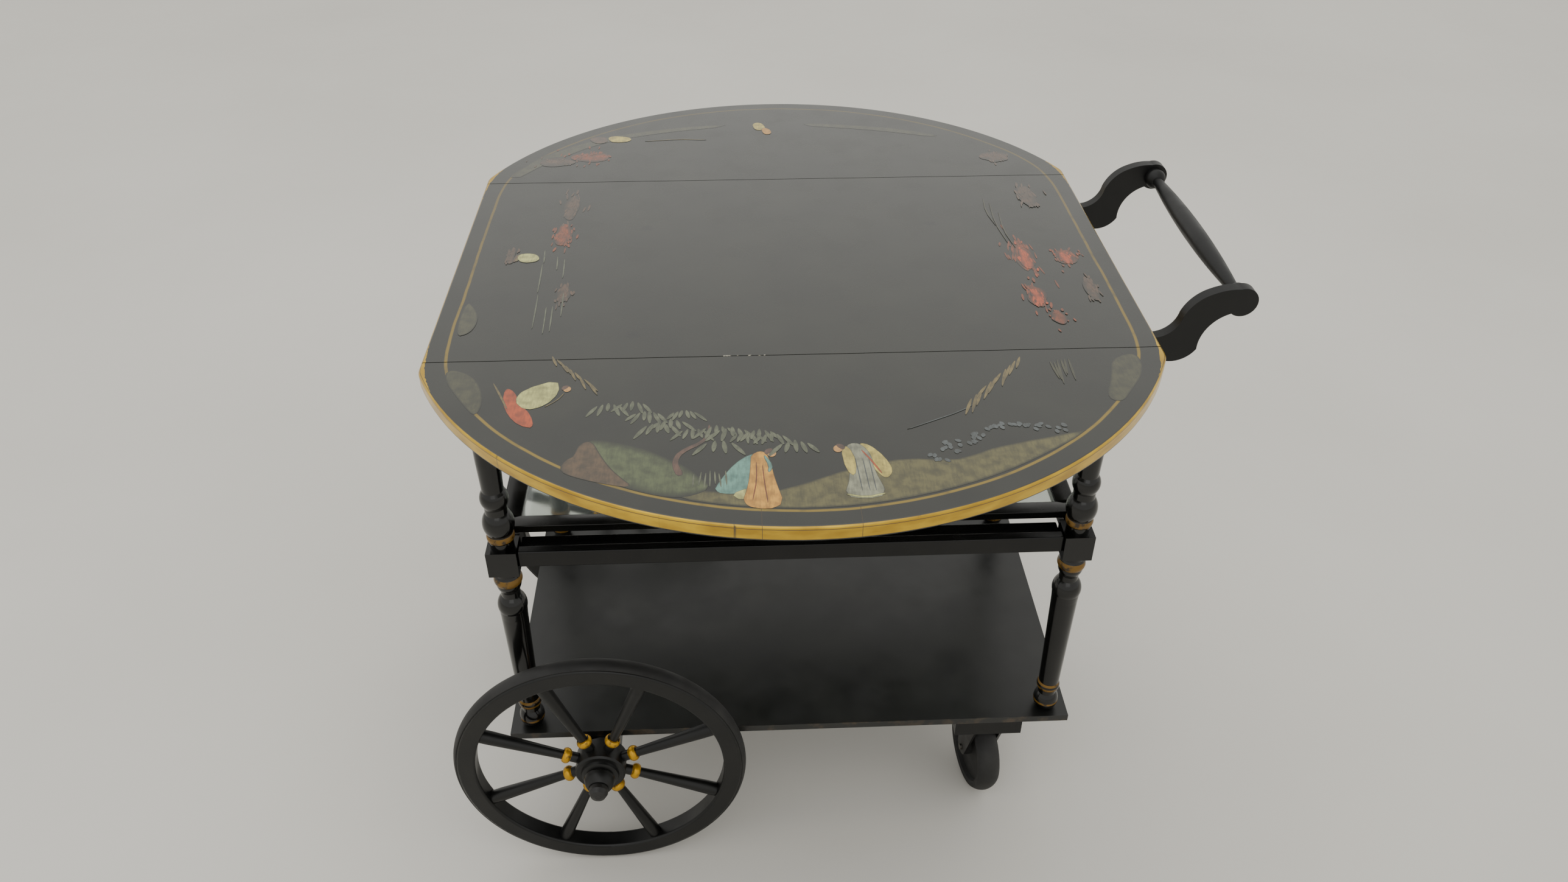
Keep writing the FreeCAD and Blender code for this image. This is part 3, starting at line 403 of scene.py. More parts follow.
# Lacquer brushed on turned and sawn beech: near black, duller where hands and feet rub it.
SHELF = WornLacquer("rubbed_black_lacquer_shelf", roughness=(0.28, 0.4), ior=1.52)
FRAME = Finish("brushed_black_lacquer", colour="070707", clouded="111110", roughness=(0.16, 0.3),
               ior=1.36, bump_mm=3.0, bump=0.05)
LEG = RingedLacquer("turned_black_lacquer_gilt_rings", colour="070707", clouded="121210",
                    roughness=(0.1, 0.2), ior=1.45)
SPOKE = BeadedLacquer("turned_black_lacquer_gilt_beads", colour="080909", clouded="10100E",
                      roughness=(0.3, 0.45), ior=1.4)
WHEEL = Finish("satin_black_lacquer_wheel", colour="080909", clouded="10100E", roughness=(0.3, 0.48),
               ior=1.4, bump_mm=4.0, bump=0.06)
HANDLE = Finish("satin_black_lacquer_handle", colour="080909", clouded="0E0E0E", roughness=(0.34, 0.5),
                ior=1.38, bump_mm=3.0, bump=0.05)
TRAY = Finish("black_lacquer_tray_rim", colour="0C0D0C", clouded="171612", roughness=(0.16, 0.3),
              ior=1.45)
# Float glass: a clear mirror with the least wave. Moulded rubber: matt and finely pitted.
GLASS = ClearGlass("old_float_glass", colour="E9F1EC", clouded="DFE9E4", roughness=(0.02, 0.09),
                   bump=0.004, bump_mm=20.0)
TYRE = Finish("moulded_black_rubber", colour="0C0C0C", clouded="171614", roughness=(0.55, 0.75),
              cloud_mm=25.0, bump_mm=0.8, bump=0.18, ior=1.52)
# Rolled brass and steel, stamped and dulled by handling. Enamel stoved on pressed steel, a little uneven.
BRASS = Finish("aged_rolled_brass", colour="8C6B33", clouded="5E4823", cloud_mm=9.0, roughness=(0.3, 0.5),
               metallic=1.0, bump_mm=1.5, bump=0.05)
STEEL = Finish("dull_rolled_steel", colour="77756F", clouded="4E4B45", cloud_mm=7.0,
               roughness=(0.34, 0.55), metallic=1.0, bump_mm=1.2, bump=0.06)
ENAMEL = Finish("stoved_black_enamel", colour="0B0B0B", clouded="191816", cloud_mm=12.0,
                roughness=(0.3, 0.5), bump_mm=1.5, bump=0.06, ior=1.5)


class Pigment(Enum):
    """The painter's colours: lit tone, shaded tone, and how well they hide the black."""

    OLIVE = ("5E5C3C", "47462F", 0.42)
    MOSS = ("5F6A42", "4C5534", 0.66)
    SAND = ("77703F", "5E582F", 0.6)
    EARTH = ("6E553A", "52412E", 0.6)
    BARK = ("6E4E3E", "523A30", 0.7)
    LEAF = ("777C60", "5D634C", 0.6)
    TEAL = ("6C9A8B", "55857A", 0.9)
    PEACH = ("D69C34", "B87C22", 0.96)
    STRAW = ("CDBB5C", "A8964A", 0.9)
    SLATE = ("97987E", "7C7D6A", 0.85)
    CREAM = ("C6C578", "A9A663", 0.92)
    CORAL = ("BC4C14", "963A0E", 0.9)
    RUST = ("A2480F", "78370F", 0.58)
    BLUSH = ("7D5A42", "5C4636", 0.42)
    TAN = ("8F7C46", "6B5D38", 0.6)
    MIST = ("687072", "535A5C", 0.5)
    SKIN = ("CE9A52", "B98852", 0.95)

    def material(self) -> bpy.types.Material:
        """The film of this pigment on lacquer."""
        paint, shade, strength = self.value
        return BrushFilm(f"oil_paint_{self.name.lower()}", paint=paint, shade=shade, strength=strength,
                         **GROUND).make()


# ---------------------------------------------------------------- modelling helpers
def alone(piece: Optional[bpy.types.Object] = None) -> None:
    """Deselect everything, and then select one piece if it is given.

    Args:
        piece: The piece to select and make active.
    """
    bpy.ops.object.select_all(action="DESELECT")
    if piece:
        piece.select_set(True)
        bpy.context.view_layer.objects.active = piece


def apply_modifier(piece: bpy.types.Object, kind: str, **settings: object) -> None:
    """Add a modifier with its settings and apply it.

    Args:
        piece: The piece that it changes.
        kind: Its type.
        settings: Its own settings.
    """
    modifier = piece.modifiers.new(kind.title(), kind)
    for name, setting in settings.items():
        setattr(modifier, name, setting)
    alone(piece)
    bpy.ops.object.modifier_apply(modifier=modifier.name)


def eased(node: str, body: str, finish: Finish, width: float) -> bpy.types.Object:
    """Stand in for a sharp-edged CAD node with a copy whose edges are rounded.

    Args:
        node: The CAD node.
        body: The body it moves with.
        finish: Its finish.
        width: The rounding, in metres.

    Returns:
        The eased piece.
    """
    piece = bpy.data.objects.new(f"{node}_eased", bpy.data.objects[node].data.copy())
    bpy.context.scene.collection.objects.link(piece)
    alone(piece)
    bpy.ops.mesh.customdata_custom_splitnormals_clear()
    bpy.ops.object.mode_set(mode="EDIT")
    bpy.ops.mesh.select_all(action="SELECT")
    bpy.ops.mesh.remove_doubles(threshold=0.000004)
    bpy.ops.mesh.dissolve_limited(angle_limit=math.radians(1.0))
    bpy.ops.object.mode_set(mode="OBJECT")
    apply_modifier(piece, "BEVEL", width=width, segments=3, limit_method="ANGLE",
                   angle_limit=math.radians(38), use_clamp_overlap=True)
    alone(piece)
    bpy.ops.object.shade_smooth_by_angle(angle=math.radians(35))
    apply_modifier(piece, "WEIGHTED_NORMAL", keep_sharp=True)
    piece.data.materials.clear()
    piece.data.materials.append(finish.make())
    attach(piece, body)
    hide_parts(node)
    LOG.info("eased %s by %.1f mm", node, width / MM)
    return piece


def rounded(corners: Sequence[Point], rounds: int = 2) -> list[Point]:
    """Cut a closed outline's corners so that it flows like a brush stroke.

    Args:
        corners: The outline.
        rounds: How many times its corners are cut.

    Returns:
        The flowing outline.
    """
    points = list(corners)
    for _ in range(rounds):
        flowing = []
        for here, there in zip(points, points[1:] + points[:1]):
            flowing.append((here[0] * 0.75 + there[0] * 0.25, here[1] * 0.75 + there[1] * 0.25))
            flowing.append((here[0] * 0.25 + there[0] * 0.75, here[1] * 0.25 + there[1] * 0.75))
        points = flowing
    return points


def ribbon(path: Sequence[Point], widths: Sequence[float]) -> list[Point]:
    """The outline of a stroke along a path.

    Args:
        path: The points the brush passes, in millimetres.
        widths: The stroke's width at each point.

    Returns:
        The closed outline.
    """
    left, right = [], []
    for index, (x, y) in enumerate(path):
        before = path[max(index - 1, 0)]
        after = path[min(index + 1, len(path) - 1)]
        way = Vector((after[0] - before[0], after[1] - before[1])).normalized()
        half = widths[index] / 2
        left.append((x - way.y * half, y + way.x * half))
        right.append((x + way.y * half, y - way.x * half))
    return right + left[::-1]


def borders(outline: Sequence[Point], count: int) -> tuple[list[Vector], list[Vector]]:
    """Split a closed outline at its two ends into a right and a left border.

    Args:
        outline: The closed outline, either way round.
        count: How many points each border gets.

    Returns:
        The two borders from the same end, with the right one first, so that the sheet between
        them faces up.
    """
    points = [Vector(point) for point in outline]
    if sum(a.x * b.y - b.x * a.y for a, b in zip(points, points[1:] + points[:1])) < 0:
        points.reverse()
    reach = [max(point[axis] for point in points) - min(point[axis] for point in points)
             for axis in (0, 1)]
    axis = 0 if reach[0] >= reach[1] else 1
    start = min(range(len(points)), key=lambda index: points[index][axis])
    points = points[start:] + points[:start]
    end = max(range(len(points)), key=lambda index: points[index][axis])
    found = []
    for chain in (points[:end + 1], (points[end:] + points[:1])[::-1]):
        lengths = [0.0]
        for here, there in zip(chain, chain[1:]):
            lengths.append(lengths[-1] + (there - here).length)
        border, at = [], 0
        for step in range(count):
            wanted = lengths[-1] * step / (count - 1)
            while at < len(chain) - 2 and lengths[at + 1] < wanted:
                at += 1
            share = (wanted - lengths[at]) / max(lengths[at + 1] - lengths[at], 1e-9)
            border.append(chain[at].lerp(chain[at + 1], min(share, 1.0)))
        found.append(border)
    return found[0], found[1]


# ---------------------------------------------------------------- the painting
@dataclass
class Painting:
    """One board's painted scene: thin films of oil paint, joined into one piece.

    Lengths are in millimetres about the table's middle, as a painter would set them out.
    """

    name: str
    body: str
    seed: int
    columns: int = 22
    # each row's place across the stroke: a fixed share, and a share of its fading edge
    rows: tuple[Point, ...] = ((0.0, 0.0), (0.0, 1.0), (1.0, -1.0), (1.0, 0.0))
    step: float = 0.002  # each film lies this much above the one before it
    sunk: float = 0.03  # a film's underside lies this deep in the lacquer
    films: list[bpy.types.Object] = field(default_factory=list)

    def __post_init__(self) -> None:
        """Give the painter a steady hand of its own."""
        self.hand = random.Random(self.seed)

    def film(self, outline: Sequence[Point], pigment: Pigment, lift: float = 0.1,
             soft: float = 1.2) -> None:
        """Lay one film of paint.

        Args:
            outline: Its outline, which the brush fills from one end to the other.
            pigment: Its colour.
            lift: How far it stands above the lacquer. Later films lie a little higher.
            soft: The width over which it fades at its edge.
        """
        lower, upper = borders(outline, self.columns)
        height = lift + self.step * len(self.films)
        alone()
        bpy.ops.mesh.primitive_grid_add(x_subdivisions=self.columns - 1,
                                        y_subdivisions=len(self.rows) - 1, size=0.01)
        piece = bpy.context.object
        cover = piece.data.attributes.new("cover", "FLOAT", "POINT")
        for column, (low, high) in enumerate(zip(lower, upper)):
            span = max((high - low).length, 0.001)
            fade = min(soft / span, 0.4)
            for row, (fixed, faded) in enumerate(self.rows):
                index = row * self.columns + column
                spot = low.lerp(high, fixed + faded * fade)
                piece.data.vertices[index].co = (
                    spot.x * MM - TABLE_SHIFT, spot.y * MM, TOP_LEVEL + height * MM)
                inside = 0 < row < len(self.rows) - 1 and 0 < column < self.columns - 1
                cover.data[index].value = 1.0 if inside else 0.0
        piece.data.materials.append(pigment.material())
        alone(piece)
        bpy.ops.object.mode_set(mode="EDIT")
        bpy.ops.mesh.select_all(action="SELECT")
        bpy.ops.mesh.remove_doubles(threshold=0.00002)
        bpy.ops.object.mode_set(mode="OBJECT")
        apply_modifier(piece, "SOLIDIFY", thickness=(height + self.sunk) * MM, offset=-1.0)
        self.films.append(piece)

    def wash(self, pigment: Pigment, *corners: Point, lift: float = 0.1,
             soft: float = 9.0) -> None:
        """A soft-edged area, such as a hill."""
        self.film(rounded(corners), pigment, lift, soft)

    def cloth(self, pigment: Pigment, *corners: Point, lift: float = 0.2) -> None:
        """A robe or a sleeve, with a firm edge and corners."""
        self.film(rounded(corners, 1), pigment, lift, 0.6)

    def stroke(self, pigment: Pigment, path: Sequence[Point], widths: Sequence[float],
               lift: float = 0.14) -> None:
        """One stroke of a brush."""
        self.film(rounded(ribbon(path, widths), 1), pigment, lift, min(widths) * 0.3)

    def dab(self, pigment: Pigment, x: float, y: float, length: float, width: float, turn: float,
            lift: float = 0.14) -> None:
        """Make a leaf-shaped touch of the brush.

        Args:
            pigment: Its colour.
            x: Where the brush lands, along the table.
            y: Where the brush lands, across the table.
            length: Its length.
            width: Its greatest width.
            turn: Its way, in degrees from straight towards the front.
            lift: How far it stands above the lacquer.
        """
        way = Vector((math.sin(math.radians(turn)), -math.cos(math.radians(turn))))
        path = [(x + way.x * length * share, y + way.y * length * share)
                for share in (0.0, 0.35, 0.7, 1.0)]
        self.stroke(pigment, path, [width * 0.35, width, width * 0.9, width * 0.3], lift)

    def canopy(self, pigment: Pigment, x: float, y: float, size: float, lift: float = 0.14) -> None:
        """Paint a drooping spray of leaves.

        Args:
            pigment: Its colour.
            x: Its top, along the table.
            y: Its top, across the table.
            size: Its width.
            lift: How far it stands above the lacquer.
        """
        count = self.hand.choice((4, 5, 5, 6))
        for index in range(count):
            lean = (index / (count - 1) - 0.5) * 2
            self.dab(pigment, x + lean * size * 0.45, y - abs(lean) * size * 0.22,
                     size * self.hand.uniform(0.62, 0.95), size * 0.2,
                     lean * 34 + self.hand.uniform(-6, 6), lift)

    def foliage(self, pigment: Pigment, x: float, y: float, wide: float, tall: float, count: int,
                lift: float = 0.14) -> None:
        """Paint a clump of leaves: a soft patch, and short upright touches over it.

        Args:
            pigment: Its colour.
            x: Its middle, along the table.
            y: Its middle, across the table.
            wide: Its width.
            tall: Its height.
            count: Half the number of touches.
            lift: How far the patch stands above the lacquer.
        """
        ring = []
        for step in range(11):
            turn = step * math.tau / 11
            out = self.hand.uniform(0.3, 0.46)
            ring.append((x + math.cos(turn) * wide * out, y + math.sin(turn) * tall * out))
        self.film(rounded(ring), pigment, lift, min(wide, tall) * 0.4)
        for _ in range(count * 2):
            off = self.hand.gauss(0, 0.24)
            up = self.hand.gauss(0, 0.24)
            self.dab(pigment, x + off * wide, y + (up + 0.1) * tall, self.hand.uniform(0.1, 0.22) * tall,
                     self.hand.uniform(1.6, 3.2), self.hand.uniform(-14, 14), lift + 0.02)

    def head(self, x: float, y: float, radius: float, facing: int) -> None:
        """Paint a small plain head, its hair gathered at the back.

        Args:
            x: Its middle, along the table.
            y: Its middle, across the table.
            radius: Half its height.
            facing: 1 to face the handle, -1 to face away from it.
        """
        turns = [step * math.tau / 14 for step in range(14)]
        ring = [(x + math.cos(turn) * radius * 0.8, y + math.sin(turn) * radius) for turn in turns]
        self.film(ring, Pigment.SKIN, 0.24, 0.4)
        behind = facing * radius
        hair = [(x - behind * 0.9, y - radius * 0.5), (x - behind * 1.3, y + radius * 0.4),
                (x - behind * 0.8, y + radius * 1.3), (x + behind * 0.3, y + radius * 1.35),
                (x + behind * 0.1, y + radius * 0.5)]
        self.film(rounded(hair), Pigment.BARK, 0.27, 0.4)

    def done(self) -> bpy.types.Object:
        """Join the films into one piece that moves with its board.

        Returns:
            The painted piece.
        """
        alone()
        for piece in self.films:
            piece.select_set(True)
        bpy.context.view_layer.objects.active = self.films[0]
        bpy.ops.object.join()
        whole = bpy.context.object
        whole.name = self.name
        whole.data.name = self.name
        alone(whole)
        bpy.ops.object.transform_apply(location=True, rotation=True, scale=True)
        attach(whole, self.body)
        LOG.info("painted %s with %d strokes", self.name, len(self.films))
        return whole


@dataclass
class FrontScene:
    """The front leaf: hills, a bent tree, two robed figures and a resting one."""

    body: str = "leaf_front"

    def ground(self) -> None:
        """Hills and grass along the stripe."""
        scene = Painting("painted_front_ground", self.body, 3)
        scene.wash(Pigment.OLIVE, (-318, -208), (-298, -214), (-284, -232), (-276, -262), (-279, -286),
                   (-292, -268), (-305, -246), (-315, -228), soft=2.0)
        scene.wash(Pigment.SAND, (-112, -396), (-88, -391), (-62, -399), (-30, -398), (-4, -388),
                   (25, -374), (50, -364), (83, -357), (105, -361), (130, -361), (150, -348),
                   (185, -338), (215, -331), (243, -322), (228, -336), (200, -355), (170, -374),
                   (140, -389), (100, -404), (50, -416), (0, -420), (-50, -416), (-100, -405), soft=3.0)
        scene.wash(Pigment.MOSS, (-186, -330), (-178, -321), (-160, -325), (-142, -332), (-128, -339),
                   (-112, -351), (-98, -361), (-88, -374), (-76, -390), (-92, -401), (-112, -402),
                   (-140, -391), (-160, -379), (-178, -366), lift=0.12)
        scene.wash(Pigment.EARTH, (-201, -364), (-197, -349), (-190, -346), (-188, -328), (-177, -322),
                   (-169, -342), (-160, -360), (-150, -374), (-138, -388), (-158, -384), (-185, -374),
                   lift=0.14, soft=1.6)
        scene.wash(Pigment.OLIVE, (268, -278), (282, -244), (289, -214), (314, -204), (317, -222),
                   (310, -244), (296, -264), (281, -286), soft=2.0)
        for step in range(7):
            scene.dab(Pigment.LEAF, -92 + step * 4.5, -388 + scene.hand.uniform(-3, 3),
                      scene.hand.uniform(12, 22), 1.6, 180 + scene.hand.uniform(-8, 8), 0.16)
        scene.done()

    def trees(self) -> None:
        """The bent tree, its sprays of leaves, the blossom and the reeds."""
        scene = Painting("painted_front_trees", self.body, 5)
        scene.stroke(Pigment.BARK, [(-102, -374), (-107, -360), (-106, -348), (-98, -338), (-87, -331),
                     (-80, -321), (-79, -303)], [7.0, 5.5, 5.0, 4.6, 4.2, 3.4, 2.2], 0.16)
        for x, y in ((-167, -268), (-146, -266), (-133, -281), (-122, -299), (-112, -294), (-101, -281),
                     (-93, -308), (-73, -305), (-60, -308), (-71, -326), (-48, -316), (-37, -312),
                     (-27, -318), (-8, -329)):
            scene.canopy(Pigment.LEAF, x, y, scene.hand.uniform(17, 23))
        for x, y in ((108, -357), (119, -346), (123, -339), (141, -334), (146, -324), (158, -314),
                     (172, -311), (188, -311), (200, -317), (218, -318)):
            for _ in range(5):
                scene.dab(Pigment.MIST, x + scene.hand.uniform(-6, 6), y + scene.hand.uniform(-5, 5),
                          6.0, 4.4, scene.hand.uniform(-60, 60))
        scene.stroke(Pigment.MIST, [(88, -318), (112, -306), (136, -294), (152, -282)],
                     [0.9, 1.1, 1.1, 0.8])
        for share in range(11):
            x, y = 150 + share * 5.6, -282 + share * 6.6
            scene.dab(Pigment.TAN, x, y + 8, scene.hand.uniform(20, 34), 3.2,
                      -24 + scene.hand.uniform(-9, 9))
        for share in range(9):
            x, y = -224 + share * 4.6, -196 - share * 5.6
            scene.dab(Pigment.TAN, x, y + 6, scene.hand.uniform(15, 26), 2.8,
                      26 + scene.hand.uniform(-9, 9))
        for share in range(6):
            scene.dab(Pigment.OLIVE, 232 + share * 3.6, -212 + scene.hand.uniform(-6, 2),
                      scene.hand.uniform(26, 48), 2.4, scene.hand.uniform(-8, 8))
        scene.done()

    def figures(self) -> None:
        """Two small plain figures in robes, bowing to each other, and one at rest."""
        scene = Painting("painted_front_figures", self.body, 7)
        scene.cloth(Pigment.TEAL, (-76, -396), (-70, -380), (-59, -360), (-47, -348), (-37, -346),
                    (-38, -370), (-44, -394), (-60, -400), lift=0.16)
        scene.cloth(Pigment.CREAM, (-62, -399), (-47, -391), (-44, -400), (-54, -408), lift=0.18)
        scene.cloth(Pigment.PEACH, (-45, -346), (-33, -343), (-29, -360), (-26, -384), (-20, -413),
                    (-34, -420), (-54, -413), (-48, -388), (-46, -365))
        for path in ([(-41, -358), (-41, -382), (-45, -408)], [(-36, -362), (-35, -386), (-33, -412)]):
            scene.stroke(Pigment.RUST, path, [0.7, 1.0, 0.8], 0.24)
        scene.stroke(Pigment.TEAL, [(-34, -350), (-29, -364), (-31, -372)], [2.6, 4.0, 2.6], 0.24)
        scene.head(-28, -347, 5.0, 1)
        scene.cloth(Pigment.STRAW, (44, -335), (54, -338), (65, -356), (70, -374), (63, -386),
                    (55, -374), (48, -356), lift=0.16)
        scene.stroke(Pigment.CORAL, [(46, -345), (53, -360), (60, -378)], [1.2, 1.8, 1.2], 0.22)
        scene.cloth(Pigment.SLATE, (33, -337), (46, -335), (54, -352), (54, -372), (62, -405),
                    (44, -410), (27, -405), (34, -380), (33, -360))
        scene.cloth(Pigment.STRAW, (29, -342), (36, -339), (41, -360), (38, -382), (31, -372),
                    lift=0.22)
        scene.stroke(Pigment.CREAM, [(29, -403), (44, -408), (60, -403)], [2.4, 2.8, 2.4], 0.24)
        for x in (40, 46, 51):
            scene.stroke(Pigment.MIST, [(x, -356), (x + 1, -376), (x + 2, -400)], [0.6, 0.9, 0.7], 0.23)
        scene.head(27, -343, 5.0, -1)
        scene.cloth(Pigment.CORAL, (-260, -240), (-251, -246), (-244, -266), (-232, -283), (-227, -304),
                    (-241, -299), (-252, -284), (-260, -262), lift=0.16)
        scene.cloth(Pigment.CREAM, (-250, -262), (-244, -244), (-215, -229), (-211, -250), (-221, -270),
                    (-238, -277))
        scene.stroke(Pigment.TAN, [(-222, -272), (-212, -262), (-207, -251)], [1.2, 1.4, 1.2], 0.22)
        scene.stroke(Pigment.TAN, [(-272, -232), (-263, -252), (-254, -274)], [1.4, 2.6, 1.4], 0.16)
        scene.head(-205, -245, 4.4, 1)
        scene.done()


@dataclass
class PanelScene:
    """The middle panel: autumn trees, bamboo and a hut near its two ends."""

    body: str = "cart"

    def left(self) -> None:
        """Bamboo, a hut and faded trees."""
        scene = Painting("painted_panel_left", self.body, 11)
        scene.foliage(Pigment.BLUSH, -237, 126, 26, 80, 16)
        scene.foliage(Pigment.RUST, -239, 58, 24, 66, 20)
        scene.foliage(Pigment.BLUSH, -226, -72, 20, 54, 12)
        for x, top, foot in ((-255, 22, -6), (-254, -8, -70), (-251, -72, -140), (-240, 8, -22),
                             (-232, 2, -40), (-240, -98, -150), (-234, -96, -146), (-226, -70, -118)):
            scene.stroke(Pigment.LEAF, [(x, top), (x + 1.2, (top + foot) / 2), (x + 2, foot)], [1.0,
                         1.7, 0.9])
        scene.wash(Pigment.CREAM, (-283, 16), (-262, 16), (-257, -3), (-279, -6), lift=0.16, soft=1.2)
        scene.wash(Pigment.TAN, (-288, 2), (-281, 16), (-275, 16), (-281, -4), lift=0.14, soft=1.2)
        scene.foliage(Pigment.BLUSH, -289, 10, 12, 54, 9)
        scene.wash(Pigment.OLIVE, (-321, -82), (-309, -98), (-302, -120), (-306, -146), (-321, -152),
                   soft=2.0)
        scene.done()

    def right(self) -> None:
        """Red and orange trees."""
        scene = Painting("painted_panel_right", self.body, 13)
        scene.foliage(Pigment.RUST, 250, -10, 34, 88, 26)
        scene.foliage(Pigment.CORAL, 252, -16, 20, 56, 9, lift=0.18)
        scene.foliage(Pigment.RUST, 296, -14, 34, 48, 18)
        scene.foliage(Pigment.CORAL, 294, -16, 20, 30, 6, lift=0.18)
        scene.foliage(Pigment.RUST, 246, -96, 26, 62, 22)
        scene.foliage(Pigment.CORAL, 247, -98, 16, 44, 8, lift=0.18)
        scene.foliage(Pigment.RUST, 258, -138, 20, 34, 9)
        scene.foliage(Pigment.BLUSH, 305, -82, 18, 60, 12)
        scene.foliage(Pigment.BLUSH, 286, 136, 30, 84, 14)
        for x, top, foot in ((233, 132, 62), (238, 120, 20), (244, 96, 8)):
            scene.stroke(Pigment.OLIVE, [(x, top), (x - 3, (top + foot) / 2), (x + 2, foot)], [0.9, 1.6,
                         0.9])
        scene.done()


@dataclass
class BackScene:
    """The back leaf: a faded shore with a hut, trees and one small figure."""

    body: str = "leaf_back"

    def shore(self) -> None:
        """The whole faded scene."""
        scene = Painting("painted_back_shore", self.body, 17)
        scene.wash(Pigment.OLIVE, (-320, 206), (-308, 238), (-288, 272), (-258, 300), (-224, 326),
                   (-180, 346), (-120, 362), (-60, 370), (-64, 360), (-126, 348), (-186, 328),
                   (-228, 304), (-262, 268), (-290, 238), (-304, 212), soft=3.0)
        scene.wash(Pigment.OLIVE, (40, 371), (100, 362), (160, 348), (210, 324), (204, 316), (150, 336),
                   (96, 350), (40, 360), soft=3.0)
        scene.foliage(Pigment.RUST, -228, 268, 60, 44, 24)
        scene.foliage(Pigment.BLUSH, -268, 256, 60, 34, 12)
        scene.wash(Pigment.STRAW, (-212, 336), (-182, 332), (-180, 316), (-206, 312), lift=0.16,
                   soft=1.2)
        scene.wash(Pigment.BLUSH, (-236, 330), (-214, 336), (-208, 314), (-226, 310), lift=0.14,
                   soft=1.6)
        scene.stroke(Pigment.TAN, [(-163, 316), (-124, 322), (-86, 318)], [1.2, 1.8, 1.2])
        scene.wash(Pigment.STRAW, (-28, 372), (-14, 374), (-8, 350), (-24, 346), lift=0.16, soft=1.4)
        scene.wash(Pigment.PEACH, (-16, 356), (-4, 352), (-2, 334), (-14, 334), lift=0.18, soft=1.4)
        scene.foliage(Pigment.BLUSH, 268, 252, 44, 46, 12)
        scene.done()


# ---------------------------------------------------------------- the cart
@dataclass
class Tabletop:
    """The panel and two leaves, gilded and painted."""

    boards: tuple[str, ...] = ("top_panel", "leaf_front", "leaf_back")

    def build(self) -> None:
        """Dress the boards and paint the scenes on them."""
        BOARD.dress(*self.boards)
        front, panel, back = FrontScene(), PanelScene(), BackScene()
        for paint in (front.ground, front.trees, front.figures, panel.left, panel.right, back.shore):
            paint()


@dataclass
class Carcase:
    """Legs, rails, aprons and the lower shelf."""

    legs: tuple[str, ...] = ("leg_front_left", "leg_front_right", "leg_back_left", "leg_back_right")
    sides: tuple[str, ...] = ("front", "back", "left", "right")
    rail_ease: float = 1.6 * MM
    shelf_ease: float = 1.8 * MM

    def build(self) -> None:
        """Dress the legs and round the edges of what is sawn and planed."""
        LEG.dress(*self.legs)
        for side in self.sides:
            eased(f"rail_{side}", "cart", FRAME, self.rail_ease)
            eased(f"apron_{side}", "cart", FRAME, self.rail_ease)
        eased("lower_shelf", "cart", SHELF, self.shelf_ease)
        for bearer in ("axle_bearer", "caster_bearer"):
            eased(bearer, "cart", FRAME, self.rail_ease)


@dataclass
class ServingTray:
    """The loose tray: three lacquered rims and a glass bottom."""

    ease: float = 0.9 * MM

    def build(self) -> None:
        """Round the rims and dress the glass."""
        for rim in ("tray_front", "tray_back", "tray_ends"):
            eased(rim, "tray", TRAY, self.ease)
        GLASS.dress("tray_glass")


@dataclass
class PushHandle:
    """Two scrolled arms and a turned bar."""

    ease: float = 2.6 * MM

    def build(self) -> None:
        """Round the sawn arms and dress the bar."""
        for side in ("front", "back"):
            eased(f"handle_arm_{side}", "cart", HANDLE, self.ease)
        HANDLE.dress("handle_bar")


@dataclass
class RunningGear:
    """The large wheels on their axle and the two casters."""

    def build(self) -> None:
        """Dress the wheels and casters."""
        for side in ("front", "back"):
            SPOKE.dress(f"wheel_{side}_spokes")
            WHEEL.dress(f"wheel_{side}_rim", f"wheel_{side}_hub")
            TYRE.dress(f"wheel_{side}_tyre", f"caster_{side}_wheel")
            ENAMEL.dress(f"caster_{side}_plate", f"caster_{side}_fork")
            STEEL.dress(f"caster_{side}_pin")
        ENAMEL.dress("axle_nuts")
        STEEL.dress("wheel_axle", "axle_washers", "caster_screws")


@dataclass
class Fittings:
    """Hinges, stays and screws."""

    def build(self) -> None:
        """Dress the metal fittings."""
        BRASS.dress("hinge_plates", "hinge_pins", "hinge_wings_front", "hinge_wings_back")
        STEEL.dress("stay_brackets", "fitting_screws", "frame_screws", "leaf_front_screws",
                    "leaf_back_screws")
        for side in ("front", "back"):
            STEEL.dress(f"stay_lugs_{side}", f"stay_lower_arms_{side}", f"stay_upper_arms_{side}")


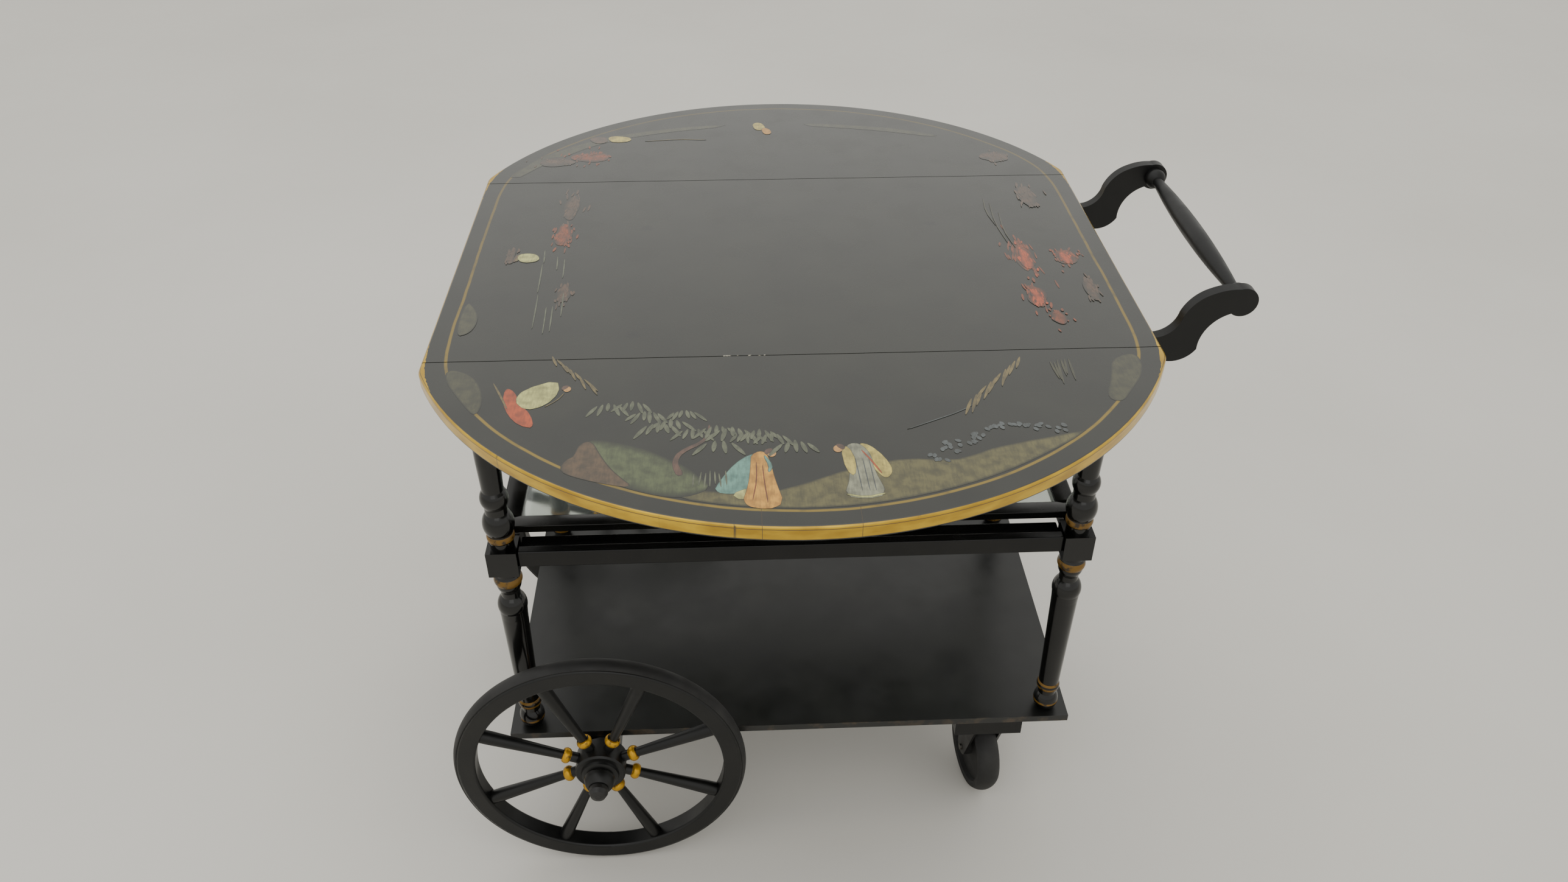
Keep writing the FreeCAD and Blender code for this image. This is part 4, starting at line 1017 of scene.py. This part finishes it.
# ---------------------------------------------------------------- the studio
@dataclass
class Studio:
    """A pale floor, soft light and the camera."""

    eye: tuple[float, float, float] = (-0.0819, -1.1396, 1.3037)
    yaw: float = 0.0474
    pitch: float = 0.6315
    roll: float = 0.0034
    lens: float = 27.66
    floor_side: float = 24.0
    aim: tuple[float, float, float] = (0.0, 0.0, 0.4)
    # each lamp's name, watts, side and place
    lamps: tuple[tuple[str, float, float, tuple[float, float, float]], ...] = (
        ("overhead", 32.0, 3.8, (-0.5, 0.0, 3.2)), ("by_camera", 8.0, 1.8, (-0.1, -2.3, 2.3)))

    def floor(self) -> None:
        """A wide pale floor."""
        alone()
        bpy.ops.mesh.primitive_grid_add(x_subdivisions=4, y_subdivisions=4, size=self.floor_side)
        ground = bpy.context.object
        ground.name = "studio_floor"
        finish = Finish("pale_studio_floor", colour="D9D6CF", clouded="D2CFC8", cloud_mm=900.0,
                        roughness=(0.6, 0.75), bump=0.0)
        ground.data.materials.append(finish.make())

    def light(self) -> None:
        """A pale room all round, a large soft light overhead and a smaller one by the camera."""
        world = bpy.data.worlds.new("pale_room")
        world.use_nodes = True
        world.node_tree.nodes.clear()
        room = add(world.node_tree, "Background", linear("F4F3EE"), 1.15)
        add(world.node_tree, "OutputWorld", room)
        bpy.context.scene.world = world
        for name, power, size, place in self.lamps:
            lamp = bpy.data.lights.new(name, "AREA")
            lamp.energy = power
            lamp.size = size
            holder = bpy.data.objects.new(name, lamp)
            holder.location = place
            beam = Vector(self.aim) - Vector(place)
            holder.rotation_euler = beam.to_track_quat("-Z", "Y").to_euler()
            bpy.context.scene.collection.objects.link(holder)

    def camera(self) -> None:
        """The camera, from its place and its yaw, pitch and roll."""
        level = math.cos(self.pitch)
        ahead = Vector((math.sin(self.yaw) * level, math.cos(self.yaw) * level, -math.sin(self.pitch)))
        right = Vector((math.cos(self.yaw), -math.sin(self.yaw), 0))
        up = right.cross(ahead)
        side = right * math.cos(self.roll) + up * math.sin(self.roll)
        top = up * math.cos(self.roll) - right * math.sin(self.roll)
        view = bpy.data.cameras.new("view")
        view.lens = self.lens
        view.sensor_width = 36.0
        holder = bpy.data.objects.new("view", view)
        turned = Matrix((side, top, -ahead)).transposed().to_4x4()
        holder.matrix_world = Matrix.Translation(self.eye) @ turned
        bpy.context.scene.collection.objects.link(holder)
        bpy.context.scene.camera = holder

    def build(self) -> None:
        """Set up the whole studio."""
        self.floor()
        self.light()
        self.camera()


def main() -> None:
    """Load the frame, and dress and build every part."""
    logging.basicConfig(level=logging.INFO, format="%(message)s")
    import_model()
    for part in (Studio(), Tabletop(), Carcase(), ServingTray(), PushHandle(), RunningGear(), Fittings()):
        part.build()
        LOG.info("%s built", type(part).__name__)


if __name__ == "__main__":
    main()
